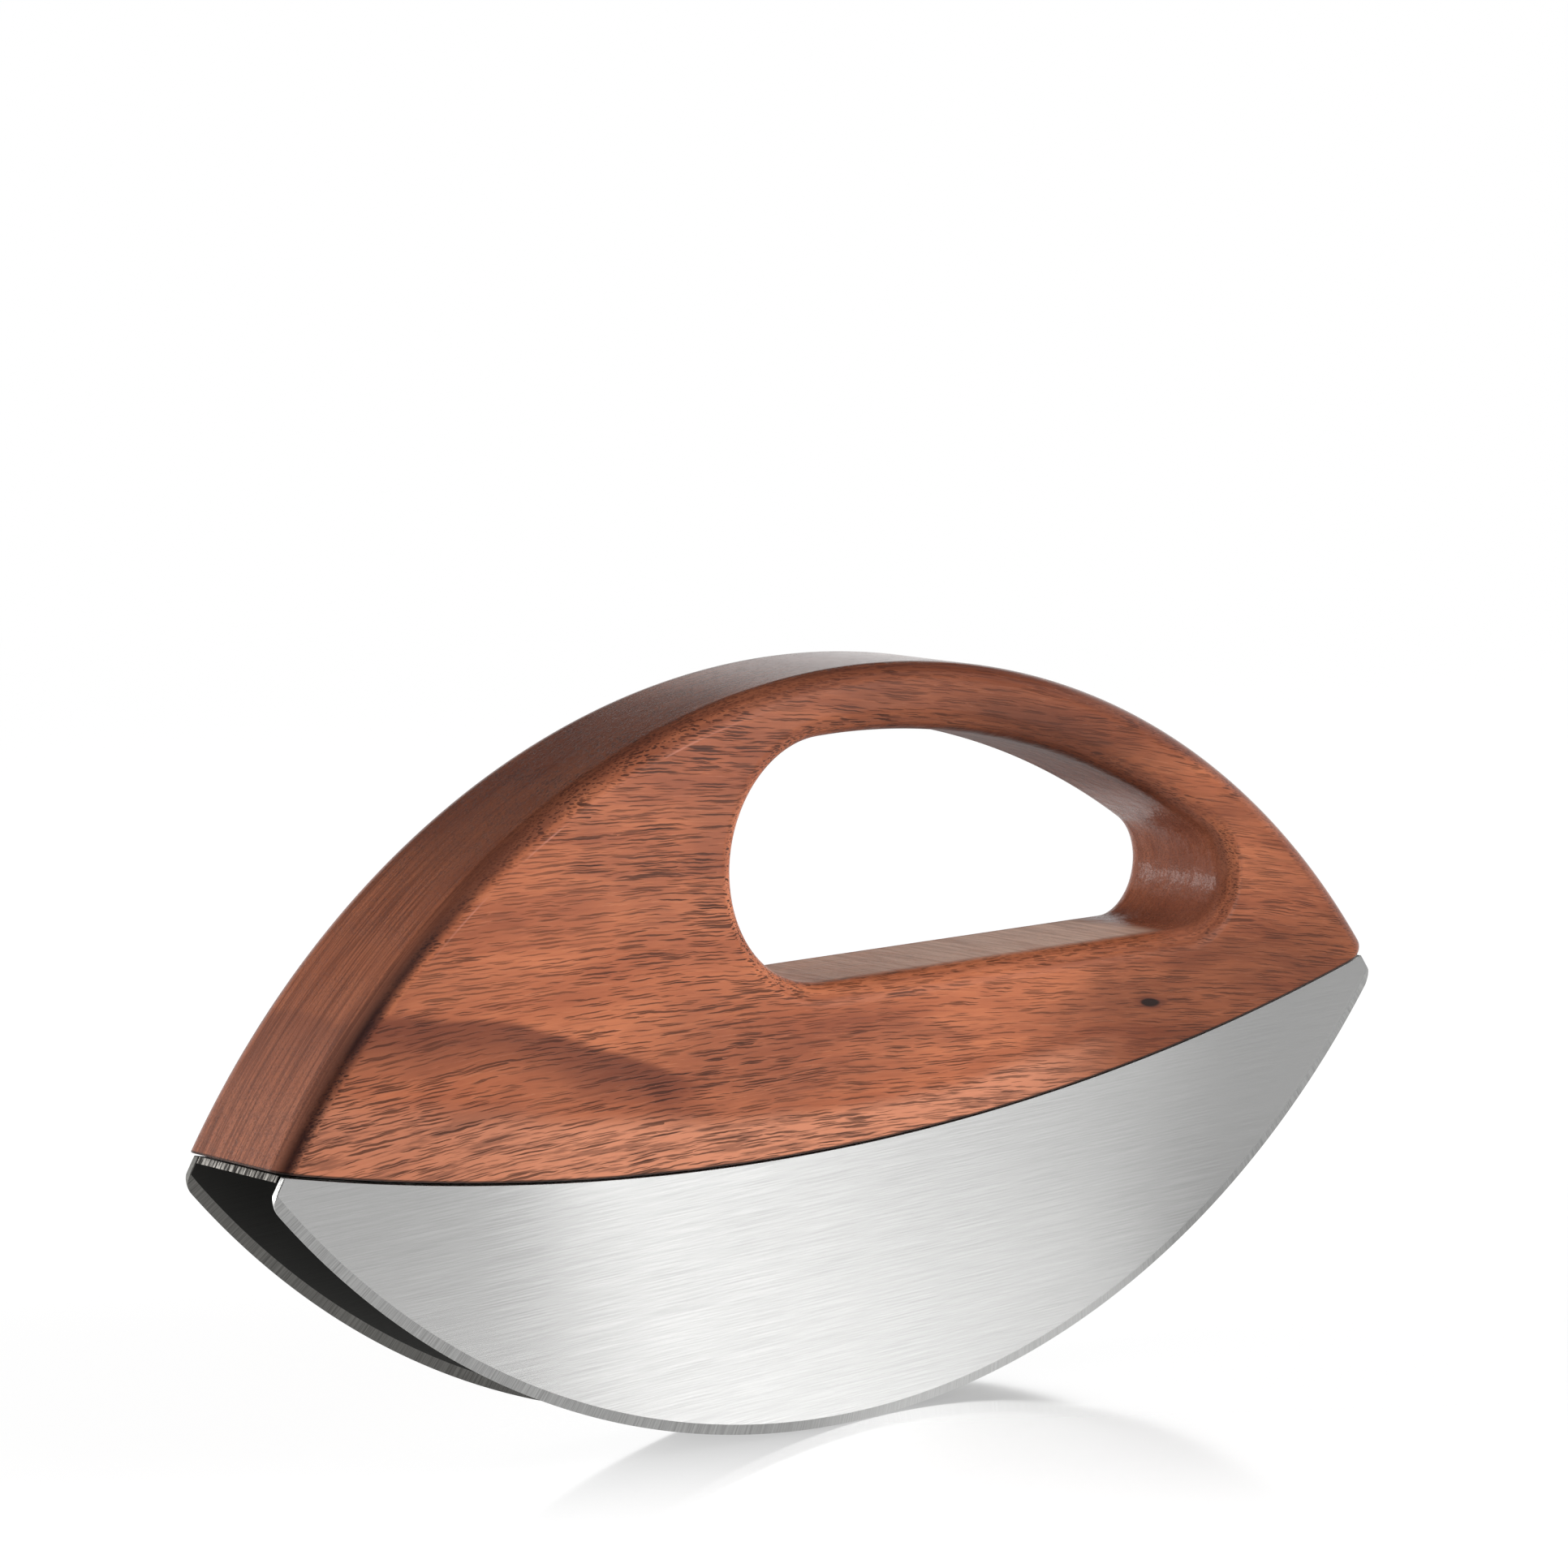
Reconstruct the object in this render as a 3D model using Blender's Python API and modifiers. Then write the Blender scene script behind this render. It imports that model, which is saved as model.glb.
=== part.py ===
"""Double-bladed mincing knife: a wooden handle over two crescent blades joined by a bridge plate.

Metres, +Z up. X runs along the knife and Y across it. The origin is midway between the two
cutting edges, at the height of the surface on which they stand. Every outline is made of circular
arcs and straight lines in the X-Z plane, so its points are written (x, z).
"""
import math

import bmesh
import bpy
from mathutils import Matrix, Vector

# Rim: one arc from end to end over the handle, on which the blades' ends are lined up too
RIM_RADIUS = 0.1220
KNIFE_HEIGHT = 0.1067

# Handle
HANDLE_THICKNESS = 0.0220
RIM_ROUNDOVER = 0.0032
SEAM_GAP = 0.0004

# Finger opening: two round ends, a roof that follows the rim loosely, and a straight floor
OPENING_ROUNDOVER = 0.0034
GRIP_DEPTH = 0.0092
ROOF_EASING = 0.0041
ROOF_SHIFT = -0.0041
OPENING_LEFT_X = -0.0051
OPENING_LEFT_RADIUS = 0.0172
OPENING_RIGHT_X = 0.0636
OPENING_RIGHT_RADIUS = 0.0077

# Blades
BLADE_DEPTH = 0.0396
BLADE_THICKNESS = 0.0010
BLADE_SPREAD = 0.0202
CUTTING_RADIUS = 0.1327
GRIND_WIDTH = 0.0015
SEAM_RADIUS = 0.4214
END_SETBACK = 0.00165
TIP_ROUNDING = 0.0025

# Bridge plate
PLATE_THICKNESS = 0.0009
PLATE_SIDE_GAP = 0.0003

# Screws: pan heads under the plate, shanks up into the wood
SCREW_COUNT = 4
SCREW_PITCH = 0.052
SCREW_LENGTH = 0.0140
SHANK_RADIUS = 0.0014
THREAD_RADIUS = 0.0019
THREAD_PITCH = 0.0014
POINT_LENGTH = 0.0026
HEAD_RADIUS = 0.0034
HEAD_HEIGHT = 0.0023
HEAD_EDGE_HEIGHT = 0.0009
RECESS_WIDTH = 0.0010
RECESS_LENGTH = 0.0038
RECESS_DEPTH = 0.0013
SCREW_CLEARANCE = 0.0003

# How far cutters run past what they cut, and how close points must be to merge
OVERRUN = 0.0020
MERGE_DISTANCE = 0.00002

# Facets
RIM_STEPS = 84
SEAM_STEPS = 40
ROOF_STEPS = 18
OPENING_END_STEPS = 24
ROUNDOVER_STEPS = 5
TIP_STEPS = 6
GRIND_STEPS = 300
SCREW_STEPS = 20
SHARPEST_SMOOTH_EDGE = math.radians(30)

# Centres of the arcs, all on the knife's upright middle line
RIM_CENTRE = (0.0, KNIFE_HEIGHT - RIM_RADIUS)
CUTTING_CENTRE = (0.0, CUTTING_RADIUS)
SEAM_CENTRE = (0.0, BLADE_DEPTH + SEAM_RADIUS)


def empty_scene():
    for obj in list(bpy.data.objects):
        bpy.data.objects.remove(obj, do_unlink=True)
    for collection in list(bpy.data.collections):
        bpy.data.collections.remove(collection)


def new_collection(name):
    collection = bpy.data.collections.new(name)
    bpy.context.scene.collection.children.link(collection)
    return collection


def new_material(name, colour, roughness, metallic):
    material = bpy.data.materials.new(name)
    material.use_nodes = True
    shader = material.node_tree.nodes["Principled BSDF"]
    shader.inputs["Base Color"].default_value = (*colour, 1.0)
    shader.inputs["Roughness"].default_value = roughness
    shader.inputs["Metallic"].default_value = metallic
    return material


def new_object(name, mesh, collection):
    obj = bpy.data.objects.new(name, mesh)
    collection.objects.link(obj)
    return obj


def new_cutter(name, mesh, collection):
    cutter = new_object(name, mesh, collection)
    cutter.hide_render = True
    cutter.display_type = "WIRE"
    return cutter


def new_boolean(obj, name, other, operation="DIFFERENCE"):
    boolean = obj.modifiers.new(name, "BOOLEAN")
    boolean.operation = operation
    boolean.solver = "EXACT"
    boolean.object = other


def new_turning(obj, steps):
    """Turn a half-profile about the object's own Z axis."""
    turning = obj.modifiers.new("turning", "SCREW")
    turning.steps = steps
    turning.render_steps = steps
    turning.use_merge_vertices = True
    turning.merge_threshold = MERGE_DISTANCE


def mesh_from(name, cage):
    bmesh.ops.recalc_face_normals(cage, faces=cage.faces)
    mesh = bpy.data.meshes.new(name)
    cage.to_mesh(mesh)
    cage.free()
    return mesh


def finish(mesh, material):
    mesh.materials.clear()
    mesh.materials.append(material)
    mesh.shade_smooth()
    mesh.set_sharp_from_angle(angle=SHARPEST_SMOOTH_EDGE)


def bearing(centre, point):
    """Direction of a point from a centre, counted from +X towards +Z."""
    return math.atan2(point[1] - centre[1], point[0] - centre[0])


def on_circle(centre, radius, angle):
    return (centre[0] + radius * math.cos(angle), centre[1] + radius * math.sin(angle))


def arc(centre, radius, start, end, steps):
    """Points from one bearing to another, both ends included."""
    return [on_circle(centre, radius, start + (end - start) * i / steps) for i in range(steps + 1)]


def right_crossing(centre_a, radius_a, centre_b, radius_b):
    """The right-hand point at which two circles cross whose centres lie on the middle line."""
    apart = centre_b[1] - centre_a[1]
    above_a = (radius_a ** 2 - radius_b ** 2 + apart ** 2) / (2 * apart)
    return (math.sqrt(radius_a ** 2 - above_a ** 2), centre_a[1] + above_a)


def mirrored(points):
    """The same points left of the middle line, in reverse order."""
    return [(-x, z) for x, z in reversed(points)]


def join(*stretches):
    """One closed outline from stretches each of which ends where the next begins."""
    return [point for stretch in stretches for point in stretch[:-1]]


def handle_outline(inset):
    """The wood's lens shape, with its rim set in: the rim arc above, the seam arc below."""
    rim_radius = RIM_RADIUS - inset
    seam_radius = SEAM_RADIUS - SEAM_GAP
    corner = right_crossing(RIM_CENTRE, rim_radius, SEAM_CENTRE, seam_radius)
    rim_start = bearing(RIM_CENTRE, corner)
    seam_end = bearing(SEAM_CENTRE, corner)
    return join(arc(RIM_CENTRE, rim_radius, rim_start, math.pi - rim_start, RIM_STEPS),
                arc(SEAM_CENTRE, seam_radius, -math.pi - seam_end, seam_end, SEAM_STEPS))


def opening_outline(outset):
    """The finger opening's outline, made larger all round."""
    roof_radius = RIM_RADIUS + ROOF_EASING
    roof_centre = (ROOF_SHIFT, KNIFE_HEIGHT - GRIP_DEPTH - roof_radius)

    def end_centre(x, radius):
        return (x, roof_centre[1] + math.sqrt((roof_radius - radius) ** 2 - (x - roof_centre[0]) ** 2))

    left = end_centre(OPENING_LEFT_X, OPENING_LEFT_RADIUS)
    right = end_centre(OPENING_RIGHT_X, OPENING_RIGHT_RADIUS)
    narrowing = (OPENING_LEFT_RADIUS - OPENING_RIGHT_RADIUS) / math.dist(left, right)
    below_floor = bearing(left, right) - math.acos(narrowing)
    roof_left = bearing(roof_centre, left)
    roof_right = bearing(roof_centre, right)
    right_end = arc(right, OPENING_RIGHT_RADIUS + outset, below_floor, roof_right, OPENING_END_STEPS)
    roof = arc(roof_centre, roof_radius + outset, roof_right, roof_left, ROOF_STEPS)
    left_end = arc(left, OPENING_LEFT_RADIUS + outset, roof_left, below_floor + 2 * math.pi,
                   OPENING_END_STEPS)
    floor = [left_end[-1], right_end[0]]
    return join(right_end, roof, left_end, floor)


def blade_blank_outline():
    """A blade before grinding: seam arc, end arcs and rounded tips, with spare sheet below."""
    end_radius = RIM_RADIUS - END_SETBACK
    top_corner = right_crossing(RIM_CENTRE, end_radius, SEAM_CENTRE, SEAM_RADIUS)
    tip_centre = right_crossing(RIM_CENTRE, end_radius - TIP_ROUNDING,
                                CUTTING_CENTRE, CUTTING_RADIUS - TIP_ROUNDING)
    end_bottom = bearing(RIM_CENTRE, tip_centre)
    edge_start = bearing(CUTTING_CENTRE, tip_centre)
    end = arc(RIM_CENTRE, end_radius, bearing(RIM_CENTRE, top_corner), end_bottom, TIP_STEPS)
    tip = arc(tip_centre, TIP_ROUNDING, end_bottom, edge_start, TIP_STEPS)
    past_edge = on_circle(CUTTING_CENTRE, CUTTING_RADIUS + OVERRUN, edge_start)
    right_side = end[:-1] + tip + [past_edge, (past_edge[0], -OVERRUN)]
    seam_end = bearing(SEAM_CENTRE, top_corner)
    seam = arc(SEAM_CENTRE, SEAM_RADIUS, -math.pi - seam_end, seam_end, SEAM_STEPS)
    return join(seam, right_side + mirrored(right_side))


def plate_outline():
    """The bridge plate's long section: a strip under the seam arc, ending flush with the blades."""
    sides = []
    for radius in (SEAM_RADIUS, SEAM_RADIUS + PLATE_THICKNESS):
        end = right_crossing(RIM_CENTRE, RIM_RADIUS - END_SETBACK, SEAM_CENTRE, radius)
        bearing_right = bearing(SEAM_CENTRE, end)
        sides.append(arc(SEAM_CENTRE, radius, bearing_right, -math.pi - bearing_right, SEAM_STEPS))
    top, underside = sides
    return top + underside[::-1]


def flat_sections(outline, thickness, middle_y):
    return [(middle_y - thickness / 2, outline), (middle_y + thickness / 2, outline)]


def rounded_sections(outline_at, thickness, radius):
    """Sections from face to face, with an outline that draws away towards both faces."""
    half = []
    for i in range(ROUNDOVER_STEPS + 1):
        angle = math.pi / 2 * i / ROUNDOVER_STEPS
        outline = outline_at(radius * (1 - math.cos(angle)))
        half.append((thickness / 2 - radius * (1 - math.sin(angle)), outline))
    return [(-y, outline) for y, outline in reversed(half)] + half


def add_skin(cage, sections):
    """Faces from each section's outline to the next. Returns the edges of the two end outlines."""
    rings = [[cage.verts.new((x, y, z)) for x, z in outline] for y, outline in sections]
    for near, far in zip(rings, rings[1:]):
        for i in range(len(near)):
            cage.faces.new((near[i - 1], near[i], far[i], far[i - 1]))
    return [[cage.edges.get((ring[i - 1], ring[i])) for i in range(len(ring))]
            for ring in (rings[0], rings[-1])]


def solid(name, *skins):
    """A mesh closed by flat faces across its skins' ends: the outside, then any opening."""
    cage = bmesh.new()
    ends = [add_skin(cage, sections) for sections in skins]
    for edges_of_face in zip(*ends):
        border = [edge for edges in edges_of_face for edge in edges]
        bmesh.ops.triangle_fill(cage, edges=border, use_beauty=True)
    return mesh_from(name, cage)


def cylinder(name, radius, bottom, top):
    cage = bmesh.new()
    bmesh.ops.create_cone(cage, cap_ends=True, segments=SCREW_STEPS, radius1=radius, radius2=radius,
                          depth=top - bottom, matrix=Matrix.Translation((0.0, 0.0, (bottom + top) / 2)))
    return mesh_from(name, cage)


def box(name, size, centre):
    cage = bmesh.new()
    bmesh.ops.create_cube(cage, size=1.0, matrix=Matrix.Translation(centre) @ Matrix.Diagonal((*size, 1.0)))
    return mesh_from(name, cage)


def profile(name, points):
    """Half of a turned shape's outline, from (radius, height) points."""
    mesh = bpy.data.meshes.new(name)
    mesh.from_pydata([(radius, 0.0, height) for radius, height in points],
                     [(i, i + 1) for i in range(len(points) - 1)], [])
    return mesh


def screw_seats():
    """One frame for each screw: origin on the plate's underside, +Z up into the wood."""
    underside_radius = SEAM_RADIUS + PLATE_THICKNESS
    seats = []
    for i in range(SCREW_COUNT):
        lean = (i - (SCREW_COUNT - 1) / 2) * SCREW_PITCH / SEAM_RADIUS
        x, z = on_circle(SEAM_CENTRE, underside_radius, lean - math.pi / 2)
        seats.append(Matrix.Translation((x, 0.0, z)) @ Matrix.Rotation(-lean, 4, "Y"))
    return seats


def drill_for_screws(obj, mesh, cutters):
    for number, seat in enumerate(screw_seats(), start=1):
        drill = new_cutter(f"{obj.name}_drill_{number}", mesh, cutters)
        drill.matrix_world = seat
        new_boolean(obj, f"screw_hole_{number}", drill)


def make_handle(parts, cutters, material):
    outside = rounded_sections(handle_outline, HANDLE_THICKNESS, RIM_ROUNDOVER)
    opening = rounded_sections(opening_outline, HANDLE_THICKNESS, OPENING_ROUNDOVER)
    handle = new_object("handle", solid("handle", outside, opening), parts)
    finish(handle.data, material)
    pilot_hole = cylinder("pilot_drill", THREAD_RADIUS + SCREW_CLEARANCE, -OVERRUN,
                          SCREW_LENGTH + SCREW_CLEARANCE)
    drill_for_screws(handle, pilot_hole, cutters)


def make_blade(name, side, parts, cutters, material):
    """A blade in front for side -1, at the back for side +1, ground to a V all along its edge."""
    middle_y = side * (BLADE_SPREAD - BLADE_THICKNESS) / 2
    blank = solid(name, flat_sections(blade_blank_outline(), BLADE_THICKNESS, middle_y))
    blade = new_object(name, blank, parts)
    finish(blank, material)
    # A disc with a V rim, of which only the rim's two slopes and the edge meet the blank
    depth = BLADE_THICKNESS / 2 + OVERRUN
    rim_inset = GRIND_WIDTH * depth / (BLADE_THICKNESS / 2)
    half_disc = profile(name + "_grinding", [(0.0, depth), (CUTTING_RADIUS - rim_inset, depth),
                                             (CUTTING_RADIUS, 0.0),
                                             (CUTTING_RADIUS - rim_inset, -depth), (0.0, -depth)])
    disc = new_cutter(name + "_grinding", half_disc, cutters)
    disc.matrix_world = (Matrix.Translation((CUTTING_CENTRE[0], middle_y, CUTTING_CENTRE[1]))
                         @ Matrix.Rotation(math.pi / 2, 4, "X"))
    new_turning(disc, GRIND_STEPS)
    new_boolean(blade, "grinding", disc, "INTERSECT")


def make_bridge_plate(parts, cutters, material):
    width = BLADE_SPREAD - 2 * (BLADE_THICKNESS + PLATE_SIDE_GAP)
    plate = new_object("bridge_plate", solid("bridge_plate", flat_sections(plate_outline(), width, 0.0)), parts)
    finish(plate.data, material)
    clearance_hole = cylinder("plate_drill", THREAD_RADIUS + SCREW_CLEARANCE, -OVERRUN, OVERRUN)
    drill_for_screws(plate, clearance_hole, cutters)


def screw_half_profile():
    """From the point down along the thread's ridges to the middle of the domed head."""
    thread_top = SCREW_LENGTH - POINT_LENGTH
    thread_bottom = PLATE_THICKNESS + SCREW_CLEARANCE
    head_top = -SCREW_CLEARANCE
    head_shoulder = head_top - HEAD_EDGE_HEIGHT
    dome_height = HEAD_HEIGHT - HEAD_EDGE_HEIGHT
    points = [(0.0, SCREW_LENGTH)]
    for turn in range(int((thread_top - thread_bottom) / THREAD_PITCH)):
        ridge = thread_top - turn * THREAD_PITCH
        points += [(SHANK_RADIUS, ridge + THREAD_PITCH / 2), (THREAD_RADIUS, ridge)]
    points += [(SHANK_RADIUS, ridge - THREAD_PITCH / 2), (SHANK_RADIUS, head_top), (HEAD_RADIUS, head_top)]
    for i in range(ROUNDOVER_STEPS):
        angle = math.pi / 2 * i / ROUNDOVER_STEPS
        points.append((HEAD_RADIUS * math.cos(angle), head_shoulder - dome_height * math.sin(angle)))
    return points + [(0.0, head_shoulder - dome_height)]


def screw_mesh(material):
    """A turned pan-head screw with a cross recess, the same for every screw."""
    scene_collection = bpy.context.scene.collection
    blank = new_object("screw_blank", profile("screw_blank", screw_half_profile()), scene_collection)
    new_turning(blank, SCREW_STEPS)
    head_bottom = (0.0, 0.0, -SCREW_CLEARANCE - HEAD_HEIGHT)
    arms = []
    for size in ((RECESS_LENGTH, RECESS_WIDTH), (RECESS_WIDTH, RECESS_LENGTH)):
        arm_mesh = box("recess", (*size, 2 * RECESS_DEPTH), head_bottom)
        arms.append(new_cutter("recess", arm_mesh, scene_collection))
        new_boolean(blank, "recess", arms[-1])
    finished = blank.evaluated_get(bpy.context.evaluated_depsgraph_get())
    mesh = bpy.data.meshes.new_from_object(finished)
    mesh.name = "handle_screw"
    finish(mesh, material)
    for obj in [blank] + arms:
        bpy.data.objects.remove(obj, do_unlink=True)
    return mesh


def make_screws(parts, material):
    mesh = screw_mesh(material)
    for number, seat in enumerate(screw_seats(), start=1):
        screw = new_object(f"handle_screw_{number}", mesh, parts)
        screw.matrix_world = seat


def main():
    empty_scene()
    parts = new_collection("mincing_knife")
    cutters = new_collection("cutters")
    wood = new_material("reddish_brown_wood", (0.34, 0.125, 0.062), 0.42, 0.0)
    blade_steel = new_material("brushed_blade_steel", (0.63, 0.63, 0.62), 0.34, 1.0)
    plate_steel = new_material("plate_steel", (0.45, 0.45, 0.44), 0.45, 1.0)
    screw_steel = new_material("screw_steel", (0.55, 0.55, 0.54), 0.30, 1.0)
    make_handle(parts, cutters, wood)
    make_blade("front_blade", -1, parts, cutters, blade_steel)
    make_blade("back_blade", 1, parts, cutters, blade_steel)
    make_bridge_plate(parts, cutters, plate_steel)
    make_screws(parts, screw_steel)


main()
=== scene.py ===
"""Scene of a double-bladed mincing knife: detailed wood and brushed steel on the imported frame."""
import math
from collections import namedtuple
from types import SimpleNamespace

import bmesh
import bpy
from mathutils import Matrix, Vector


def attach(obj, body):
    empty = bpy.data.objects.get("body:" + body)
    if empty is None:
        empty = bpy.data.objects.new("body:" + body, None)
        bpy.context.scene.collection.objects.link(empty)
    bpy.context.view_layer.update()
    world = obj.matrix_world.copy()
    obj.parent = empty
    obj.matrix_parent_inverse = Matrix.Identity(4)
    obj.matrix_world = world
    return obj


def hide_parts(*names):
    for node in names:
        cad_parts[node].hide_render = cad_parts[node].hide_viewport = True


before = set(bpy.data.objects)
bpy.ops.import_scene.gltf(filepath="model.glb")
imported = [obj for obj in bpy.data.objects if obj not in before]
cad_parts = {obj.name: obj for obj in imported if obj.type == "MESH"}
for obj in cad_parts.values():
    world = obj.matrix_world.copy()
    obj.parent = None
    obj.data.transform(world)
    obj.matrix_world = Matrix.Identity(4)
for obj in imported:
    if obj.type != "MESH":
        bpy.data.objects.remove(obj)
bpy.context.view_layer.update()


def srgb(red, green, blue):
    """A colour given as it looks on a screen, 0 to 255, as linear light."""
    linear = []
    for level in (red, green, blue):
        c = level / 255
        linear.append(c / 12.92 if c <= 0.04045 else ((c + 0.055) / 1.055) ** 2.4)
    return (*linear, 1.0)


# Sizes of the knife in metres, the same as the model's
KNIFE_LENGTH = 0.2000
KNIFE_HEIGHT = 0.1067
HANDLE_THICKNESS = 0.0220
RIM_ROUNDOVER = 0.0032
SEAM_GAP = 0.0004
OPENING_ROUNDOVER = 0.0034
GRIP_DEPTH = 0.0092
ROOF_EASING = 0.0041
ROOF_SHIFT_SHARE = -0.041
OPENING_LEFT_SHARE = -0.051
OPENING_RIGHT_SHARE = 0.636
OPENING_LEFT_RADIUS_SHARE = 0.2563
OPENING_RIGHT_RADIUS_SHARE = 0.1148
BLADE_DEPTH = 0.0396
BLADE_THICKNESS = 0.0010
FACE_SETBACK = 0.0009
GRIND_WIDTH = 0.0015
SEAM_RISE = 0.01204
END_DROP = 0.0035
END_SETBACK = 0.00165
TIP_ROUNDING = 0.0025

# Small roundings that only the scene has
SEAM_EDGE_ROUNDING = 0.00025
LEFT_CORNER_ROUNDING = 0.00015
RIGHT_CORNER_ROUNDING = 0.0014
SHEET_EDGE_BREAK = 0.00010
SHEET_CORNER_ROUNDING = 0.0002
EDGE_LAND = 0.00006

# Facets
RIM_STEPS = 320
SEAM_STEPS = 240
ROOF_STEPS = 90
OPENING_END_STEPS = 72
ROUNDOVER_STEPS = 14
CORNER_STEPS = 6
CUTTING_STEPS = 400
DEPTH_DIGITS = 7
WOOD_SHARP_ANGLE = math.radians(35)
BLADE_SHARP_ANGLE = math.radians(12)

# Material slots of a blade
OUTER_FACE, GROUND_SLOPE, CUT_EDGE, INNER_FACE = range(4)

# The long arcs
HALF_LENGTH = KNIFE_LENGTH / 2
CORNER_HEIGHT = BLADE_DEPTH + SEAM_RISE
SEAM_RADIUS = (HALF_LENGTH ** 2 + SEAM_RISE ** 2) / (2 * SEAM_RISE)
SEAM_CENTRE = (0.0, BLADE_DEPTH + SEAM_RADIUS)
RIM_RISE = KNIFE_HEIGHT - CORNER_HEIGHT
RIM_RADIUS = (HALF_LENGTH ** 2 + RIM_RISE ** 2 - END_SETBACK ** 2) / (2 * (RIM_RISE - END_SETBACK))
RIM_CENTRE = (0.0, KNIFE_HEIGHT - RIM_RADIUS)
END_RADIUS = RIM_RADIUS - END_SETBACK
TIP_HEIGHT = CORNER_HEIGHT - END_DROP
TIP_X = math.sqrt(END_RADIUS ** 2 - (TIP_HEIGHT - RIM_CENTRE[1]) ** 2)
CUTTING_RADIUS = (TIP_X ** 2 + TIP_HEIGHT ** 2) / (2 * TIP_HEIGHT)
CUTTING_CENTRE = (0.0, CUTTING_RADIUS)
BLADE_SPREAD = HANDLE_THICKNESS - 2 * FACE_SETBACK

# The grain's fall along X, how the fall grows along X and upwards, and the height at which it is given
GRAIN_FALL = 0.122
GRAIN_BEND = 0.78
GRAIN_FAN = 1.9
GRAIN_LEVEL = 0.070

# How far, in metres, noise around its middle value moves the lines of the grain, the borders of the figures
# and the pores
NOISE_MIDDLE = 0.5
GRAIN_SWAY = 0.0018
FIGURE_SWAY = 0.004
PORE_SWAY = 0.00035

# Patterns of noise: a feature's size in metres along X, upwards and along Y, then detail and roughness
Pattern = namedtuple("Pattern", "length height depth detail roughness")
SWAY = Pattern(0.030, 0.010, 0.010, 2.0, 0.5)
WOBBLE = Pattern(0.0025, 0.0010, 0.0010, 1.0, 0.5)
BROAD = Pattern(0.060, 0.011, 0.011, 3.0, 0.55)
BANDS = Pattern(0.090, 0.0032, 0.0032, 3.0, 0.6)
LAYERS = Pattern(0.040, 0.012, 0.0005, 4.0, 0.65)
FIBRE = Pattern(0.0080, 0.00028, 0.00028, 4.0, 0.7)
GREY_LINES = Pattern(0.012, 0.0007, 0.0007, 4.0, 0.65)
CLUSTERS = Pattern(0.025, 0.007, 0.007, 2.0, 0.5)
SCORCH_AND_SHADE = Pattern(0.006, 0.004, 0.004, 2.0, 0.5)
RIM_LINES = Pattern(0.020, 0.020, 0.00045, 3.0, 0.65)
CROSS_LINES = Pattern(0.0012, 0.02, 0.02, 3.0, 0.6)
CREST_BREAKS = Pattern(0.008, 0.008, 0.008, 2.0, 0.5)
MOTTLE = Pattern(0.0030, 0.0030, 0.0030, 3.0, 0.6)
FINE_BRUSH = Pattern(0.0140, 0.00013, 0.01, 3.0, 0.7)
COARSE_BRUSH = Pattern(0.0500, 0.0005, 0.01, 2.0, 0.5)
GRINDING = Pattern(0.00022, 0.01, 0.01, 3.0, 0.7)
SHEARING = Pattern(0.02, 0.00045, 0.004, 3.0, 0.7)
CUT_GRAIN = Pattern(0.0005, 0.0005, 0.0005, 3.0, 0.6)
TURNED_GRAIN = Pattern(0.001, 0.001, 0.001, 3.0, 0.6)

# Fades are tuples for Graph.range: where a mask starts and ends, in metres or in levels of a noise,
# and its values there where they aren't 0 and 1. The wood's broad colour comes first.
BROAD_FADE = (0.36, 0.64)
WOOD_DARK = srgb(148, 83, 56)
WOOD_LIGHT = srgb(177, 106, 73)
BAND_FADE, BAND_COLOUR = (0.48, 0.74, 0.0, 0.40), srgb(116, 58, 40)
LAYER_FADE, LAYER_COLOUR = (0.38, 0.66, 0.0, 0.50), srgb(104, 58, 44)
DARK_FIBRE_FADE, DARK_FIBRE_COLOUR = (0.28, 0.50, 0.40, 0.0), srgb(112, 58, 40)
LIGHT_FIBRE_FADE, LIGHT_FIBRE_COLOUR = (0.52, 0.74, 0.0, 0.18), srgb(204, 132, 94)

# The dark figure low at the left, under a bent line through a middle point
DARK_FIGURE_MIDDLE = (-0.062, 0.0657)
DARK_FIGURE_SLOPE = -0.273
DARK_FIGURE_BEND = -4.20
DARK_FIGURE_HALF_LENGTH = 0.034
DARK_FIGURE_DEPTH = 0.0095
DARK_FIGURE_SHARE = 0.76
DARK_FIGURE_COLOUR = srgb(90, 46, 34)
FIGURE_TOP_FADE = (-0.0005, 0.0008)
FIGURE_BOTTOM_START = 0.0015
FIGURE_END_SHARE = 0.7

# The light band along the seam, with grey lines in it
LOW_BAND_HEIGHT = (-0.085, 0.0, 0.0125, 0.0068)
LOW_BAND_TOP = (0.60, 1.0, 1.0, 0.0)
LOW_BAND_END = (0.030, 0.055, 1.0, 0.0)
LOW_BAND_SHARE = (-0.085, -0.045, 0.45, 0.80)
LOW_BAND_COLOUR = srgb(192, 127, 98)
GREY_LINE_FADE = (0.48, 0.62)
GREY_LINE_SHARE = 0.55
GREY_LINE_COLOUR = srgb(84, 52, 42)

# Painted shade in the arch and at the right, multiplied over the wood: fades along X and upwards
PAINTED_SHADE = srgb(186, 182, 180)
ARCH_SHADE = ((-0.030, 0.015), (0.078, 0.092, 0.0, 0.80))
RIGHT_LOW_SHADE = ((0.020, 0.070), (0.068, 0.052, 0.0, 1.25))
RIGHT_END_SHADE = (0.050, 0.080)
RIGHT_END_SHADE_SHARE = 0.45
ARCH_FOOT_SHADE = {"centre": (0.044, 0.0885), "half_length": 0.034, "half_width": 0.0075, "slope": -0.42}
ARCH_FOOT_SHADE_SHARE = 0.65

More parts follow.
